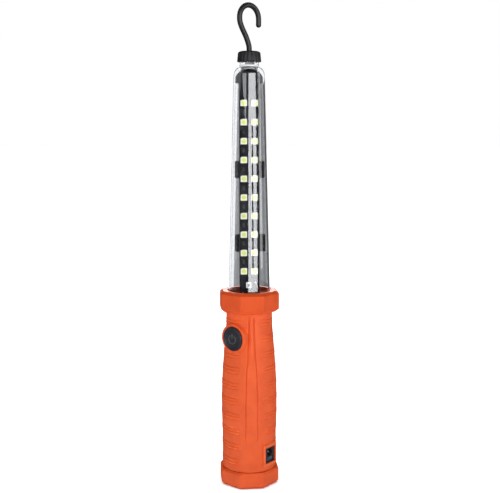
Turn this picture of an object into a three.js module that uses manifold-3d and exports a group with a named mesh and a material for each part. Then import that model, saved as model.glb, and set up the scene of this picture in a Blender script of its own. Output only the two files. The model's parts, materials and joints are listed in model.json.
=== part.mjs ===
// Cordless LED inspection light: a clear tapered lens tube over a strip of LEDs, on an octagonal
// collar and a clamshell grip, with a swivelling wire hook at the top and an octagonal foot.
// Millimetres, +Z up. The origin is the centre of the foot's flat underside, and the LEDs face -Y.

import * as THREE from "three";
import { mergeVertices } from "three/addons/utils/BufferGeometryUtils.js";
import Module from "manifold-3d";

const wasm = await Module();
wasm.setup();

// ---- driving dimensions ----

const GAP = 0.3; // clearance between pieces that touch
const FAR = 60; // how far a cutting tool runs past the part, sideways
const ROUND = 48; // sides of the big round shapes
const SMALL_ROUND = 16; // sides of screws, pins and wires

const OCTAGON_RADIUS = 25.4; // to the corners, foot and collar alike
const FOOT_HEIGHT = 13.2;
const FOOT_CHAMFER = 2;
const FOOT_FLOOR = 4;
const FOOT_POCKET_RADIUS = 17;

const GRIP_BOTTOM = FOOT_HEIGHT + GAP;
const GRIP_TOP = 148.7;
const GRIP_WALL = 2;
const GRIP_FLOOR_TOP = GRIP_BOTTOM + 2.4;
const LEDGE_BOTTOM = 144.4;
const LEDGE_TOP = 146.4;
const LEDGE_HOLE_RADIUS = 8;
const TUBE_SEAT_RADIUS = 16.6;
// grip outline: height and radius from the foot to the straight neck
const GRIP_OUTLINE = [
  [GRIP_BOTTOM, 22.05],
  [30, 22.05],
  [45, 22.2],
  [58, 22.6],
  [72, 22.65],
  [87, 22.25],
  [107, 20.95],
  [120, 19.85],
  [134, 18.8],
  [GRIP_TOP, 18.8],
];
const GRIP_STEPS = 15; // straight lengths along the outside
const GRIP_CAVITY_STEPS = 9;
const STRIP_HALF_WIDTH = 4.8; // smooth raised strip down the front of the grip
const STRIP_BOTTOM = 39;
const STRIP_TOP = 110;
const STRIP_PROUD = 0.4;

const COLLAR_BOTTOM = 143.3;
const COLLAR_TOP = 160.5;
const COLLAR_BORE_RADIUS = 19.1; // slides over the grip's neck
const COLLAR_LIP_RADIUS = 17.3; // holds the tube's flange down
const COLLAR_LIP_BOTTOM = 152.5;
const COLLAR_LOWER_CHAMFER = [3.4, 2.5]; // inwards, upwards
const COLLAR_UPPER_CHAMFER = [2.4, 1.8];

const TUBE_BOTTOM = 149;
const TUBE_WALL = 1.2;
const TUBE_FLANGE_RADIUS = 18.4;
const TUBE_FLANGE_TOP = 151;
const TUBE_LOWER_RADIUS = 17.04; // just above the flange
const TUBE_UPPER_RADIUS = 12.4; // where the shoulder starts
const TUBE_SHOULDER_BOTTOM = 330.6;
const TUBE_SHOULDER_TOP = 338.2;
const TUBE_NECK_RADIUS = 7.4;
const TUBE_NECK_BORE = 5.6;
const TUBE_NECK_TOP = 347.4;
const TUBE_RING = { bottom: 338.5, top: 339.9, radius: 7.8 };

const CAP_BOTTOM = 342.4;
const CAP_TOP = 350.5;
const CAP_CEILING = 348.6;
const CAP_LOWER_RADIUS = 9.2;
const CAP_UPPER_RADIUS = 8.5;
const CAP_SKIRT_BORE = 7.8;
const CAP_RIBS = 24;
const CAP_RIB_PROUD = 0.4;
const CAP_RIB_WIDTH = 1.1;
const CAP_RIM = 1; // bevel round the top
const GASKET = { inner: 5.9, outer: 7.4, bottom: 347.65, top: 348.35 };

const HOOK_WIRE_RADIUS = 2.1;
const HOOK_BEND_RADIUS = 9.9;
const HOOK_BEND_HEIGHT = 376.2; // centre of the round bight
const HOOK_TIP = 369.6;
// the leg, from the stem's lower end to the bight: distance from the axis in the hook's plane, height
const HOOK_LEG = [
  [0, 343.8],
  [0, 348],
  [0, 352.5],
  [-0.7, 356],
  [-3.3, 361.6],
  [-7, 367.4],
  [-9.3, 372],
];
const HOOK_BIGHT_STEP = 22.5; // degrees
const HOOK_STEPS = 52;
const HOOK_SIDES = 12;
const HOOK_PLANE_TURN = 36; // degrees from +X, from the leg towards the tip
const HOOK_BORE_CLEARANCE = 0.1;
const HOOK_GROOVE = { bottom: 346.6, top: 348.2, radius: 1.3 };
const HOOK_CLIP = { outer: 4.4, bottom: 346.9, top: 347.9 };

const BOARD_WIDTH = 16.1;
const BOARD_THICKNESS = 1.6;
const BOARD_FRONT = -2.9; // y of the board's printed face
const BOARD_BOTTOM = 150;
const BOARD_TOP = 335;
const LED_SIZE = 5; // square surface-mount package
const LED_THICKNESS = 1.6;
const LED_ROWS = 10;
const LED_PITCH = 14.9;
const LED_LOWEST = 176.1;
const LED_COLUMNS = [
  ["left", -4.6],
  ["right", 3.95],
];
const LED_LIFT = 0.1; // solder under each LED
const CONNECTOR = { x: [-2.8, 1.2], z: [162.6, 167.1], depth: 2.8 };

const CHASSIS_FRONT = -1;
const CHASSIS_BACK = 1;
const CHASSIS_FOOT = { bottom: 146.7, top: 148.7, radius: 14.9 };
const CHASSIS_RIB = { inner: 5.2, outer: 6.6, back: 4.6 };
const CHASSIS_TOP_PLATE = { bottom: 335.3, top: 336.9, radius: 6.6 };
// side tabs: bottom, top and how far each reaches to the left and to the right
const CHASSIS_TABS = [
  { bottom: 191.6, top: 205.8, left: 11.6, right: 13.2 },
  { bottom: 251, top: 264.7, left: 11.6, right: 12.5 },
  { bottom: 325.7, top: 331.6, left: 10.9, right: 10.9 },
];
const CHASSIS_CROSS_RIBS = 6;
const CHASSIS_CROSS_RIB_HALF = 0.7;
const CHASSIS_SHOULDER = { bottom: 331, top: 334.2, reach: 8.6, crown: 6.4 }; // follows the tube's shoulder
const CHASSIS_WIRE_SLOT = { reach: 3.5, front: -4.6, top: 160 };

const BUTTON_HEIGHT = 123; // z of its centre
const BUTTON_TURN = -45; // degrees round from the front
const BUTTON_RADIUS = 9.5;
const BUTTON_FACE = 21.9; // distance from the light's axis
const BUTTON_BACK = 12.8;
const BUTTON_FLANGE_RADIUS = 10.6;
const BUTTON_FLANGE_FRONT = 14;
const BUTTON_HOLLOW = { radius: 7, front: 15.6 };
const BUTTON_STEM = { radius: 2.2, front: 16, back: 12.4 };
const BUTTON_DISH = { radius: 7.9, depth: 0.4 };
const BUTTON_RIM_RADIUS = 11.3;
const BUTTON_RIM_FACE = 20.7;
const BUTTON_RIM_BACK = 14.2;
const BUTTON_ROOM_BACK = 8; // the flange's room inside the grip
const PLUNGER = { radius: 1.7, front: 12.1, back: 9.6 };
const SWITCH = { half: 4.25, front: 10.4, back: 6.5, boreRadius: 2, boreBack: 7.4 };
const CONTROL_BOARD = { half: 8.5, front: 6.2, back: 4.6, bottom: 117, top: 132.2 };

const PORT_TURN = 45;
const PORT_FRAME = { width: 16.2, bottom: 17, top: 35.6, face: 22.6, back: 17 };
const PORT_PANEL = { width: 12, bottom: 19.7, top: 32.4, face: 21.6, thickness: 2 };
const PORT_WINDOW = { width: 10.4, bottom: 21.4, top: 31.6, back: 15 };
const JACK_HEIGHT = 28;
const JACK_HOLE_RADIUS = 3.1;
const JACK_BORE_RADIUS = 2.8;
const JACK_BODY = { width: 9, bottom: 24.8, top: 31.2, front: -19.3, back: -8.5, floor: 1.5 };
const JACK_PIN = { radius: 1, front: 20.8, back: 10.3 };
const INDICATOR = { width: 7, bottom: 20.9, top: 24.1, front: 21.5, back: 20.1 };
const PIPE = { radius: 1, height: 23, back: 9 }; // carries light out to the indicator's window
const CHARGE_BOARD = { half: 6.5, front: 8.2, back: 6.6, bottom: 22.6, top: 34 };

const CELL_RADIUS = 9.2;
const CELL_OFFSET = 9.35;
const CELL_BOTTOM = 44;
const CELL_TOP = 109;
const CELL_END_GAP = 0.9;
const HOLDER_END = 2;
const HOLDER_HALF_WIDTH = 15.4;
const HOLDER_DEPTH = [-6, 9];
const HOLDER_SPINE = { half: 1.6, depth: [6, 9] };
const CELL_TAB = { inner: 5, outer: 13, depth: [-8.4, 3] };
const CELL_LINK = { half: 14, depth: [-3.5, 3.5] };

const GRIP_SCREWS = [
  [-13, 37.5, 22.1],
  [13, 37.5, 22.1],
  [-10, 138.5, 18.8],
  [10, 138.5, 18.8],
]; // x, z and the grip's radius there
const POST_RADIUS = 3.3;
const SCREW_HEAD_RADIUS = 2.7;
const SCREW_SHANK_RADIUS = 1.4;
const SCREW_HEAD_SINK = 0.6;
const SCREW_HEAD_HEIGHT = 2.2;
const SCREW_GRIP = 2.5; // thread in the far post, past its wall
const SCREW_CROSS = { reach: 1.6, half: 0.4, depth: 1 };
const FOOT_SCREW_OFFSET = 12;
const FOOT_SCREW_TOP = 20.5;
const FOOT_SCREW_HEAD = { bottom: 0.6, top: 2.7 };
const FOOT_POST_WALL = 4;
const WIRE_RADIUS = 0.7;
const WIRE_STEPS = 14;
const WIRE_SIDES = 6;

// ---- materials ----

function paint(color, roughness, metalness = 0, opacity = 1) {
  return new THREE.MeshStandardMaterial({
    color,
    roughness,
    metalness,
    opacity,
    transparent: opacity < 1,
  });
}

const ORANGE = paint(0xe4562a, 0.55);
const BLACK = paint(0x1c1c1e, 0.5);
const BLACK_WIRE = paint(0x17181a, 0.35);
const CLEAR = paint(0xf2f6f8, 0.05, 0, 0.3);
const BOARD_BLACK = paint(0x15161a, 0.4);
const LED_CREAM = paint(0xf6f4cf, 0.4);
const WHITE = paint(0xf0f0ee, 0.45);
const STEEL = paint(0xb9bcc0, 0.3, 1);
const RUBBER = paint(0x242424, 0.8);
const CELL_BLUE = paint(0x2f6fae, 0.45);
const GREEN = paint(0x1d5b38, 0.5);
const RED = paint(0xb42a22, 0.5);
const SMOKED = paint(0x39424f, 0.15);

// ---- geometry helpers ----

const radians = THREE.MathUtils.degToRad;

function volumeOf(points, corners) {
  const a = new THREE.Vector3();
  const b = new THREE.Vector3();
  const c = new THREE.Vector3();
  let sum = 0;
  for (let i = 0; i < corners.length; i += 3) {
    a.fromArray(points, corners[i] * 3);
    b.fromArray(points, corners[i + 1] * 3);
    c.fromArray(points, corners[i + 2] * 3);
    sum += a.dot(b.cross(c)) / 6;
  }
  return sum;
}

// merges shared vertices, drops collapsed triangles and turns the faces outwards
function closed(geometry) {
  const bare = geometry.clone();
  bare.deleteAttribute("normal");
  bare.deleteAttribute("uv");
  const merged = mergeVertices(bare, 1e-3);
  const corners = [];
  for (let i = 0; i < merged.index.count; i += 3) {
    const triangle = [0, 1, 2].map((k) => merged.index.getX(i + k));
    if (new Set(triangle).size === 3) corners.push(...triangle);
  }
  if (volumeOf(merged.attributes.position.array, corners) < 0) corners.reverse();
  merged.setIndex(corners);
  return merged;
}

function solidOf(geometry) {
  const tidy = closed(geometry);
  return new wasm.Manifold(
    new wasm.Mesh({
      numProp: 3,
      vertProperties: Float32Array.from(tidy.attributes.position.array),
      triVerts: Uint32Array.from(tidy.index.array),
    }),
  );
}

function geometryOf(solid) {
  const mesh = solid.getMesh();
  const geometry = new THREE.BufferGeometry();
  geometry.setAttribute("position", new THREE.BufferAttribute(mesh.vertProperties, 3));
  geometry.setIndex(new THREE.BufferAttribute(mesh.triVerts, 1));
  return geometry;
}

function join(...shapes) {
  return geometryOf(shapes.map(solidOf).reduce((all, next) => all.add(next)));
}

function cut(shape, ...tools) {
  return geometryOf(tools.map(solidOf).reduce((rest, tool) => rest.subtract(tool), solidOf(shape)));
}

function common(first, second) {
  return geometryOf(solidOf(first).intersect(solidOf(second)));
}

// a profile of [radius, z] pairs turned about Z; its first side faces the front
function turned(profile, sides = ROUND, startDegrees = 0) {
  const points = profile.map(([radius, z]) => new THREE.Vector2(radius, z));
  const shape = new THREE.LatheGeometry(points, sides, radians(startDegrees));
  return closed(shape.rotateX(Math.PI / 2));
}

function disc(radius, bottom, top, sides = ROUND) {
  return turned([[0, bottom], [radius, bottom], [radius, top], [0, top]], sides);
}

function ring(inner, outer, bottom, top, sides = ROUND) {
  const profile = [[inner, bottom], [outer, bottom], [outer, top], [inner, top], [inner, bottom]];
  return turned(profile, sides);
}

function block(x, y, z) {
  const box = new THREE.BoxGeometry(x[1] - x[0], y[1] - y[0], z[1] - z[0]);
  return box.translate((x[0] + x[1]) / 2, (y[0] + y[1]) / 2, (z[0] + z[1]) / 2);
}

// a round bar along Y between two y values, at the given x and z
function crossBar(radius, x, z, yStart, yEnd, sides = SMALL_ROUND) {
  const bar = new THREE.CylinderGeometry(radius, radius, yEnd - yStart, sides);
  return bar.translate(x, (yStart + yEnd) / 2, z);
}

function octagonal(profile) {
  return turned(profile, 8, 22.5);
}

function wireAlong(points, radius, steps, sides) {
  const section = new THREE.Shape().absarc(0, 0, radius, 0, 2 * Math.PI);
  const path = new THREE.CatmullRomCurve3(points.map((p) => new THREE.Vector3(...p)));
  // a full arc is drawn with two sides for each curve segment
  const options = { steps, extrudePath: path, curveSegments: sides / 2, bevelEnabled: false };
  return closed(new THREE.ExtrudeGeometry(section, options));
}

// ---- foot ----

function footCap() {
  const corner = OCTAGON_RADIUS;
  const small = corner - FOOT_CHAMFER;
  const body = octagonal([
    [0, 0],
    [small, 0],
    [corner, FOOT_CHAMFER],
    [corner, FOOT_HEIGHT - FOOT_CHAMFER],
    [small, FOOT_HEIGHT],
    [0, FOOT_HEIGHT],
  ]);
  const pocket = disc(FOOT_POCKET_RADIUS, FOOT_FLOOR, FOOT_HEIGHT + 1);
  const posts = [];
  const holes = [];
  for (const y of [-FOOT_SCREW_OFFSET, FOOT_SCREW_OFFSET]) {
    posts.push(disc(FOOT_POST_WALL, FOOT_FLOOR - 1, FOOT_HEIGHT, SMALL_ROUND).translate(0, y, 0));
    const seat = FOOT_SCREW_HEAD.top + GAP;
    holes.push(disc(SCREW_HEAD_RADIUS + GAP, -1, seat, SMALL_ROUND).translate(0, y, 0));
    holes.push(disc(SCREW_SHANK_RADIUS + GAP, 1, FOOT_HEIGHT + 1, SMALL_ROUND).translate(0, y, 0));
  }
  return cut(join(cut(body, pocket), ...posts), ...holes);
}

// ---- grip ----

function gripProfile(inset, bottom, top, steps = GRIP_STEPS) {
  const curve = new THREE.SplineCurve(GRIP_OUTLINE.map(([z, radius]) => new THREE.Vector2(z, radius)));
  const inside = curve.getPoints(steps).filter((p) => p.x > bottom + 1 && p.x < top - 1);
  const radiusAt = (z) => curve.getPoints(200).reduce((near, p) => (p.x <= z ? p : near)).y;
  const wall = inside.map((p) => [p.y - inset, p.x]);
  return [
    [0, bottom],
    [radiusAt(bottom) - inset, bottom],
    ...wall,
    [radiusAt(top) - inset, top],
    [0, top],
  ];
}

function frontStrip() {
  const outer = turned(gripProfile(-STRIP_PROUD, GRIP_BOTTOM, GRIP_TOP));
  const inner = turned(gripProfile(GRIP_WALL / 2, GRIP_BOTTOM - 1, GRIP_TOP + 1));
  const slab = block([-STRIP_HALF_WIDTH, STRIP_HALF_WIDTH], [-FAR, 0], [STRIP_BOTTOM, STRIP_TOP]);
  return cut(common(outer, slab), inner);
}

function gripScrewPost(x, z, radius) {
  const reach = Math.sqrt((radius - GRIP_WALL / 2) ** 2 - (Math.abs(x) + POST_RADIUS) ** 2);
  return crossBar(POST_RADIUS, x, z, -reach, reach);
}

function gripScrewSpan(x, radius) {
  const outside = Math.sqrt(radius ** 2 - (Math.abs(x) + SCREW_HEAD_RADIUS) ** 2);
  const headTop = outside - SCREW_HEAD_SINK;
  return { headTop, headBottom: headTop - SCREW_HEAD_HEIGHT, tip: SCREW_GRIP + GRIP_WALL - outside };
}

function gripScrewHoles(x, z, radius) {
  const { headBottom, tip } = gripScrewSpan(x, radius);
  return [
    crossBar(SCREW_HEAD_RADIUS + GAP, x, z, headBottom - GAP, FAR),
    crossBar(SCREW_SHANK_RADIUS + GAP, x, z, tip - GAP, FAR),
  ];
}

function portOpening() {
  const { width, bottom, top, thickness, face } = PORT_PANEL;
  const half = width / 2 + GAP;
  const seat = block([-half, half], [-FAR, -face + thickness + GAP], [bottom - GAP, top + GAP]);
  const windowHalf = PORT_WINDOW.width / 2;
  const depth = [-FAR, -PORT_WINDOW.back];
  const window = block([-windowHalf, windowHalf], depth, [PORT_WINDOW.bottom, PORT_WINDOW.top]);
  return join(seat, window);
}

function gripShell() {
  const outside = turned(gripProfile(0, GRIP_BOTTOM, GRIP_TOP));
  const hollow = gripProfile(GRIP_WALL, GRIP_FLOOR_TOP, LEDGE_BOTTOM, GRIP_CAVITY_STEPS);
  const cavity = turned(hollow);
  const tubeSeat = disc(TUBE_SEAT_RADIUS, LEDGE_TOP, GRIP_TOP + 1);
  const wireHole = disc(LEDGE_HOLE_RADIUS, LEDGE_BOTTOM - 1, LEDGE_TOP + 1);
  const shell = cut(outside, cavity, tubeSeat, wireHole);

  const rimDepth = [-BUTTON_RIM_FACE, -BUTTON_RIM_BACK];
  const rim = crossBar(BUTTON_RIM_RADIUS, 0, BUTTON_HEIGHT, ...rimDepth, ROUND);
  const buttonRim = rim.rotateZ(radians(BUTTON_TURN));
  const frameHalf = PORT_FRAME.width / 2;
  const frameHeight = [PORT_FRAME.bottom, PORT_FRAME.top];
  const frame = block([-frameHalf, frameHalf], [-PORT_FRAME.face, -PORT_FRAME.back], frameHeight);
  const portFrame = frame.rotateZ(radians(PORT_TURN));
  const posts = GRIP_SCREWS.map(([x, z, radius]) => gripScrewPost(x, z, radius));
  const footPosts = [-FOOT_SCREW_OFFSET, FOOT_SCREW_OFFSET].map((y) =>
    disc(POST_RADIUS, GRIP_FLOOR_TOP - 1, FOOT_SCREW_TOP + 1.5, SMALL_ROUND).translate(0, y, 0),
  );
  const body = join(shell, frontStrip(), buttonRim, portFrame, ...posts, ...footPosts);

  const buttonHole = crossBar(BUTTON_RADIUS + GAP, 0, BUTTON_HEIGHT, -FAR, -BUTTON_ROOM_BACK, ROUND);
  const roomDepth = [-BUTTON_FLANGE_FRONT - GAP, -BUTTON_ROOM_BACK];
  const flangeRoom = crossBar(BUTTON_FLANGE_RADIUS + GAP, 0, BUTTON_HEIGHT, ...roomDepth, ROUND);
  const footHoles = [-FOOT_SCREW_OFFSET, FOOT_SCREW_OFFSET].map((y) => {
    const hole = disc(SCREW_SHANK_RADIUS + GAP, GRIP_BOTTOM - 1, FOOT_SCREW_TOP + GAP, SMALL_ROUND);
    return hole.translate(0, y, 0);
  });
  return cut(
    body,
    buttonHole.rotateZ(radians(BUTTON_TURN)),
    flangeRoom.rotateZ(radians(BUTTON_TURN)),
    portOpening().rotateZ(radians(PORT_TURN)),
    ...footHoles,
    ...GRIP_SCREWS.flatMap(([x, z, radius]) => gripScrewHoles(x, z, radius)),
  );
}

function gripHalf(shell, side) {
  const near = GAP / 2;
  const y = side < 0 ? [-FAR, -near] : [near, FAR];
  return common(shell, block([-FAR, FAR], y, [0, GRIP_TOP + 1]));
}

// a pan-head screw lying along -Y with its head towards +Y
function gripScrew(x, z, radius) {
  const { headTop, headBottom, tip } = gripScrewSpan(x, radius);
  const head = crossBar(SCREW_HEAD_RADIUS, x, z, headBottom, headTop);
  const shank = crossBar(SCREW_SHANK_RADIUS, x, z, tip, headBottom + 0.5);
  const { reach, half, depth } = SCREW_CROSS;
  const slotY = [headTop - depth, headTop + 1];
  const slots = [
    block([x - reach, x + reach], slotY, [z - half, z + half]),
    block([x - half, x + half], slotY, [z - reach, z + reach]),
  ];
  return cut(join(head, shank), ...slots);
}

// an upright screw with its head at the bottom
function footScrew(y) {
  const { bottom, top } = FOOT_SCREW_HEAD;
  const { reach, half, depth } = SCREW_CROSS;
  const head = disc(SCREW_HEAD_RADIUS, bottom, top, SMALL_ROUND);
  const shank = disc(SCREW_SHANK_RADIUS, top - GAP, FOOT_SCREW_TOP, SMALL_ROUND);
  const slots = [
    block([-reach, reach], [-half, half], [0, bottom + depth]),
    block([-half, half], [-reach, reach], [0, bottom + depth]),
  ];
  return cut(join(head, shank), ...slots).translate(0, y, 0);
}

// ---- collar, tube and seals ----

function collarRing() {
  const corner = OCTAGON_RADIUS;
  const [lowerIn, lowerUp] = COLLAR_LOWER_CHAMFER;
  const [upperIn, upperDown] = COLLAR_UPPER_CHAMFER;
  const outside = octagonal([
    [0, COLLAR_BOTTOM],
    [corner - lowerIn, COLLAR_BOTTOM],
    [corner, COLLAR_BOTTOM + lowerUp],
    [corner, COLLAR_TOP - upperDown],
    [corner - upperIn, COLLAR_TOP],
    [0, COLLAR_TOP],
  ]);
  const bore = disc(COLLAR_BORE_RADIUS, COLLAR_BOTTOM - 1, COLLAR_LIP_BOTTOM);
  const mouth = disc(COLLAR_LIP_RADIUS, COLLAR_LIP_BOTTOM - 1, COLLAR_TOP + 1);
  return cut(outside, bore, mouth);
}

// the shoulder's outline: an elliptical quarter from the tube wall up to the neck
function shoulder(fromRadius, toRadius, bottom, top) {
  const steps = 5;
  const points = [];
  for (let i = 0; i <= steps; i += 1) {
    const angle = (i / steps) * (Math.PI / 2);
    points.push([
      toRadius + (fromRadius - toRadius) * Math.cos(angle),
      bottom + (top - bottom) * Math.sin(angle),
    ]);
  }
  return points;
}

function lensTube() {
  const wall = TUBE_WALL;
  const outer = [
    [TUBE_FLANGE_RADIUS, TUBE_BOTTOM],
    [TUBE_FLANGE_RADIUS, TUBE_FLANGE_TOP],
    [TUBE_LOWER_RADIUS, TUBE_FLANGE_TOP],
    ...shoulder(TUBE_UPPER_RADIUS, TUBE_NECK_RADIUS, TUBE_SHOULDER_BOTTOM, TUBE_SHOULDER_TOP),
    [TUBE_NECK_RADIUS, TUBE_RING.bottom],
    [TUBE_RING.radius, TUBE_RING.bottom],
    [TUBE_RING.radius, TUBE_RING.top],
    [TUBE_NECK_RADIUS, TUBE_RING.top],
    [TUBE_NECK_RADIUS, TUBE_NECK_TOP],
  ];
  const inner = [
    [TUBE_NECK_BORE, TUBE_NECK_TOP],
    [TUBE_NECK_BORE, TUBE_SHOULDER_TOP],
    ...shoulder(
      TUBE_UPPER_RADIUS - wall,
      TUBE_NECK_BORE + wall,
      TUBE_SHOULDER_BOTTOM,
      TUBE_SHOULDER_TOP - wall,
    ).reverse(),
    [TUBE_LOWER_RADIUS - wall, TUBE_BOTTOM],
    [TUBE_FLANGE_RADIUS, TUBE_BOTTOM],
  ];
  return turned([...outer, ...inner]);
}

// ---- cap and hook ----

function hookCap() {
  const middle = (CAP_LOWER_RADIUS + CAP_UPPER_RADIUS) / 2;
  const outside = turned([
    [0, CAP_BOTTOM],
    [CAP_LOWER_RADIUS, CAP_BOTTOM],
    [CAP_UPPER_RADIUS, CAP_TOP - CAP_RIM],
    [CAP_UPPER_RADIUS - CAP_RIM, CAP_TOP],
    [0, CAP_TOP],
  ]);
  const ribs = [];
  for (let i = 0; i < CAP_RIBS; i += 1) {
    const half = CAP_RIB_WIDTH / 2;
    const depth = [-middle - CAP_RIB_PROUD, -middle + 1];
    const rib = block([-half, half], depth, [CAP_BOTTOM, CAP_TOP - CAP_RIM - CAP_RIB_PROUD]);
    ribs.push(rib.rotateZ((i / CAP_RIBS) * 2 * Math.PI));
  }
  const skirt = disc(CAP_SKIRT_BORE, CAP_BOTTOM - 1, CAP_CEILING);
  const flat = Math.cos(Math.PI / ROUND);
  const bore = disc((HOOK_WIRE_RADIUS + HOOK_BORE_CLEARANCE) / flat, CAP_BOTTOM, CAP_TOP + 1);
  return cut(join(outside, ...ribs), skirt, bore);
}

function hookWire() {
  const direction = [Math.cos(radians(HOOK_PLANE_TURN)), Math.sin(radians(HOOK_PLANE_TURN))];
  const inPlane = (u, z) => [u * direction[0], u * direction[1], z];
  const bight = [];
  for (let angle = 180; angle >= 0; angle -= HOOK_BIGHT_STEP) {
    const u = HOOK_BEND_RADIUS * Math.cos(radians(angle));
    const z = HOOK_BEND_HEIGHT + HOOK_BEND_RADIUS * Math.sin(radians(angle));
    bight.push(inPlane(u, z));
  }
  const leg = HOOK_LEG.map((place) => inPlane(...place));
  const path = [...leg, ...bight, inPlane(HOOK_BEND_RADIUS, HOOK_TIP)];
  const wire = wireAlong(path, HOOK_WIRE_RADIUS, HOOK_STEPS, HOOK_SIDES);
  const { radius, bottom, top } = HOOK_GROOVE;
  const groove = ring(radius, HOOK_WIRE_RADIUS + 1, bottom, top, SMALL_ROUND);
  return cut(wire, groove);
}

// ---- LED strip ----

function ledBoard() {
  const half = BOARD_WIDTH / 2;
  return block([-half, half], [BOARD_FRONT, BOARD_FRONT + BOARD_THICKNESS], [BOARD_BOTTOM, BOARD_TOP]);
}

function ledChassis() {
  const half = BOARD_WIDTH / 2;
  const faces = [CHASSIS_FRONT, CHASSIS_BACK];
  const spine = block([-half, half], faces, [CHASSIS_FOOT.bottom, CHASSIS_TOP_PLATE.top - 0.5]);
  const foot = disc(CHASSIS_FOOT.radius, CHASSIS_FOOT.bottom, CHASSIS_FOOT.top);
  const plate = disc(CHASSIS_TOP_PLATE.radius, CHASSIS_TOP_PLATE.bottom, CHASSIS_TOP_PLATE.top, 24);
  const ribHeight = [CHASSIS_FOOT.bottom, CHASSIS_TOP_PLATE.bottom];
  const ribDepth = [0, CHASSIS_RIB.back];
  const ribs = [
    block([-CHASSIS_RIB.outer, -CHASSIS_RIB.inner], ribDepth, ribHeight),
    block([CHASSIS_RIB.inner, CHASSIS_RIB.outer], ribDepth, ribHeight),
  ];
  for (let i = 1; i <= CHASSIS_CROSS_RIBS; i += 1) {
    const z = BOARD_BOTTOM + (i * (BOARD_TOP - BOARD_BOTTOM)) / (CHASSIS_CROSS_RIBS + 1);
    const reach = (CHASSIS_RIB.inner + CHASSIS_RIB.outer) / 2;
    const height = [z - CHASSIS_CROSS_RIB_HALF, z + CHASSIS_CROSS_RIB_HALF];
    ribs.push(block([-reach, reach], ribDepth, height));
  }
  const tabs = CHASSIS_TABS.map((tab) => block([-tab.left, tab.right], faces, [tab.bottom, tab.top]));
  const { bottom, top, reach, crown } = CHASSIS_SHOULDER;
  const shoulderTab = block([-reach, reach], faces, [bottom, top]);
  const slot = CHASSIS_WIRE_SLOT;
  const slotDepth = [slot.front, CHASSIS_FRONT - 0.2];
  const wireSlot = block([-slot.reach, slot.reach], slotDepth, [CHASSIS_FOOT.bottom - 1, slot.top]);
  // room at the spine's top corners for the tube's shoulder
  const corners = [[-FAR, -crown], [crown, FAR]].map((x) => block(x, [-FAR, FAR], [top, TUBE_NECK_TOP]));
  return cut(join(spine, foot, plate, ...ribs, ...tabs, shoulderTab), wireSlot, ...corners);
}

// ---- button and switch, facing -Y before they are turned to their place ----

function circuitBoard({ half, front, back, bottom, top }) {
  return block([-half, half], [-front, -back], [bottom, top]);
}

function pushButton() {
  const z = BUTTON_HEIGHT;
  const dishDepth = [-BUTTON_FACE - 1, -BUTTON_FACE + BUTTON_DISH.depth];
  const cap = crossBar(BUTTON_RADIUS, 0, z, -BUTTON_FACE, -BUTTON_BACK, ROUND);
  const flange = crossBar(BUTTON_FLANGE_RADIUS, 0, z, -BUTTON_FLANGE_FRONT, -BUTTON_BACK, ROUND);
  const hollow = crossBar(BUTTON_HOLLOW.radius, 0, z, -BUTTON_HOLLOW.front, 1 - BUTTON_BACK, 24);
  const stem = crossBar(BUTTON_STEM.radius, 0, z, -BUTTON_STEM.front, -BUTTON_STEM.back);
  const dish = crossBar(BUTTON_DISH.radius, 0, z, ...dishDepth, ROUND);
  return join(cut(join(cap, flange), hollow, dish), stem);
}

function switchBody() {
  const z = BUTTON_HEIGHT;
  const { half, front, back, boreRadius, boreBack } = SWITCH;
  const body = block([-half, half], [-front, -back], [z - half, z + half]);
  return cut(body, crossBar(boreRadius, 0, z, -front - 1, -boreBack));
}

// ---- charging port, facing -Y before it is turned to its place ----

function portPanel() {
  const { width, bottom, top, face, thickness } = PORT_PANEL;
  const plate = block([-width / 2, width / 2], [-face, -face + thickness], [bottom, top]);
  const jackHole = crossBar(JACK_HOLE_RADIUS, 0, JACK_HEIGHT, -FAR, 0, 24);
  const half = INDICATOR.width / 2 + GAP;
  const indicatorHole = block([-half, half], [-FAR, 0], [INDICATOR.bottom - GAP, INDICATOR.top + GAP]);
  return cut(plate, jackHole, indicatorHole);
}

// a small window with the light pipe behind it
function chargeIndicator() {
  const { width, bottom, top, front, back } = INDICATOR;
  const pane = block([-width / 2, width / 2], [-front, -back], [bottom, top]);
  return join(pane, crossBar(PIPE.radius, 0, PIPE.height, -back - GAP, -PIPE.back));
}

function dcJack() {
  const { width, bottom, top, front, back, floor } = JACK_BODY;
  const body = block([-width / 2, width / 2], [front, back], [bottom, top]);
  return cut(body, crossBar(JACK_BORE_RADIUS, 0, JACK_HEIGHT, front - 1, back - floor, 24));
}

// ---- battery pack ----

function batteryCell(side) {
  const body = disc(CELL_RADIUS, CELL_BOTTOM, CELL_TOP, 32);
  return body.translate(side * CELL_OFFSET, 0, 0);
}

function batteryHolder() {
  const lowerTop = CELL_BOTTOM - CELL_END_GAP;
  const upperBottom = CELL_TOP + CELL_END_GAP;
  const wide = [-HOLDER_HALF_WIDTH, HOLDER_HALF_WIDTH];
  const { half, depth } = HOLDER_SPINE;
  return join(
    block(wide, HOLDER_DEPTH, [lowerTop - HOLDER_END, lowerTop]),
    block(wide, HOLDER_DEPTH, [upperBottom, upperBottom + HOLDER_END]),
    block([-half, half], depth, [lowerTop - 1, upperBottom + 1]),
  );
}

function cellTab(side) {
  const { inner, outer, depth } = CELL_TAB;
  const x = side < 0 ? [-outer, -inner] : [inner, outer];
  return block(x, depth, [CELL_TOP + GAP, CELL_TOP + 2 * GAP]);
}

// ---- wiring: each route is a few hand-placed points ----

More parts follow.
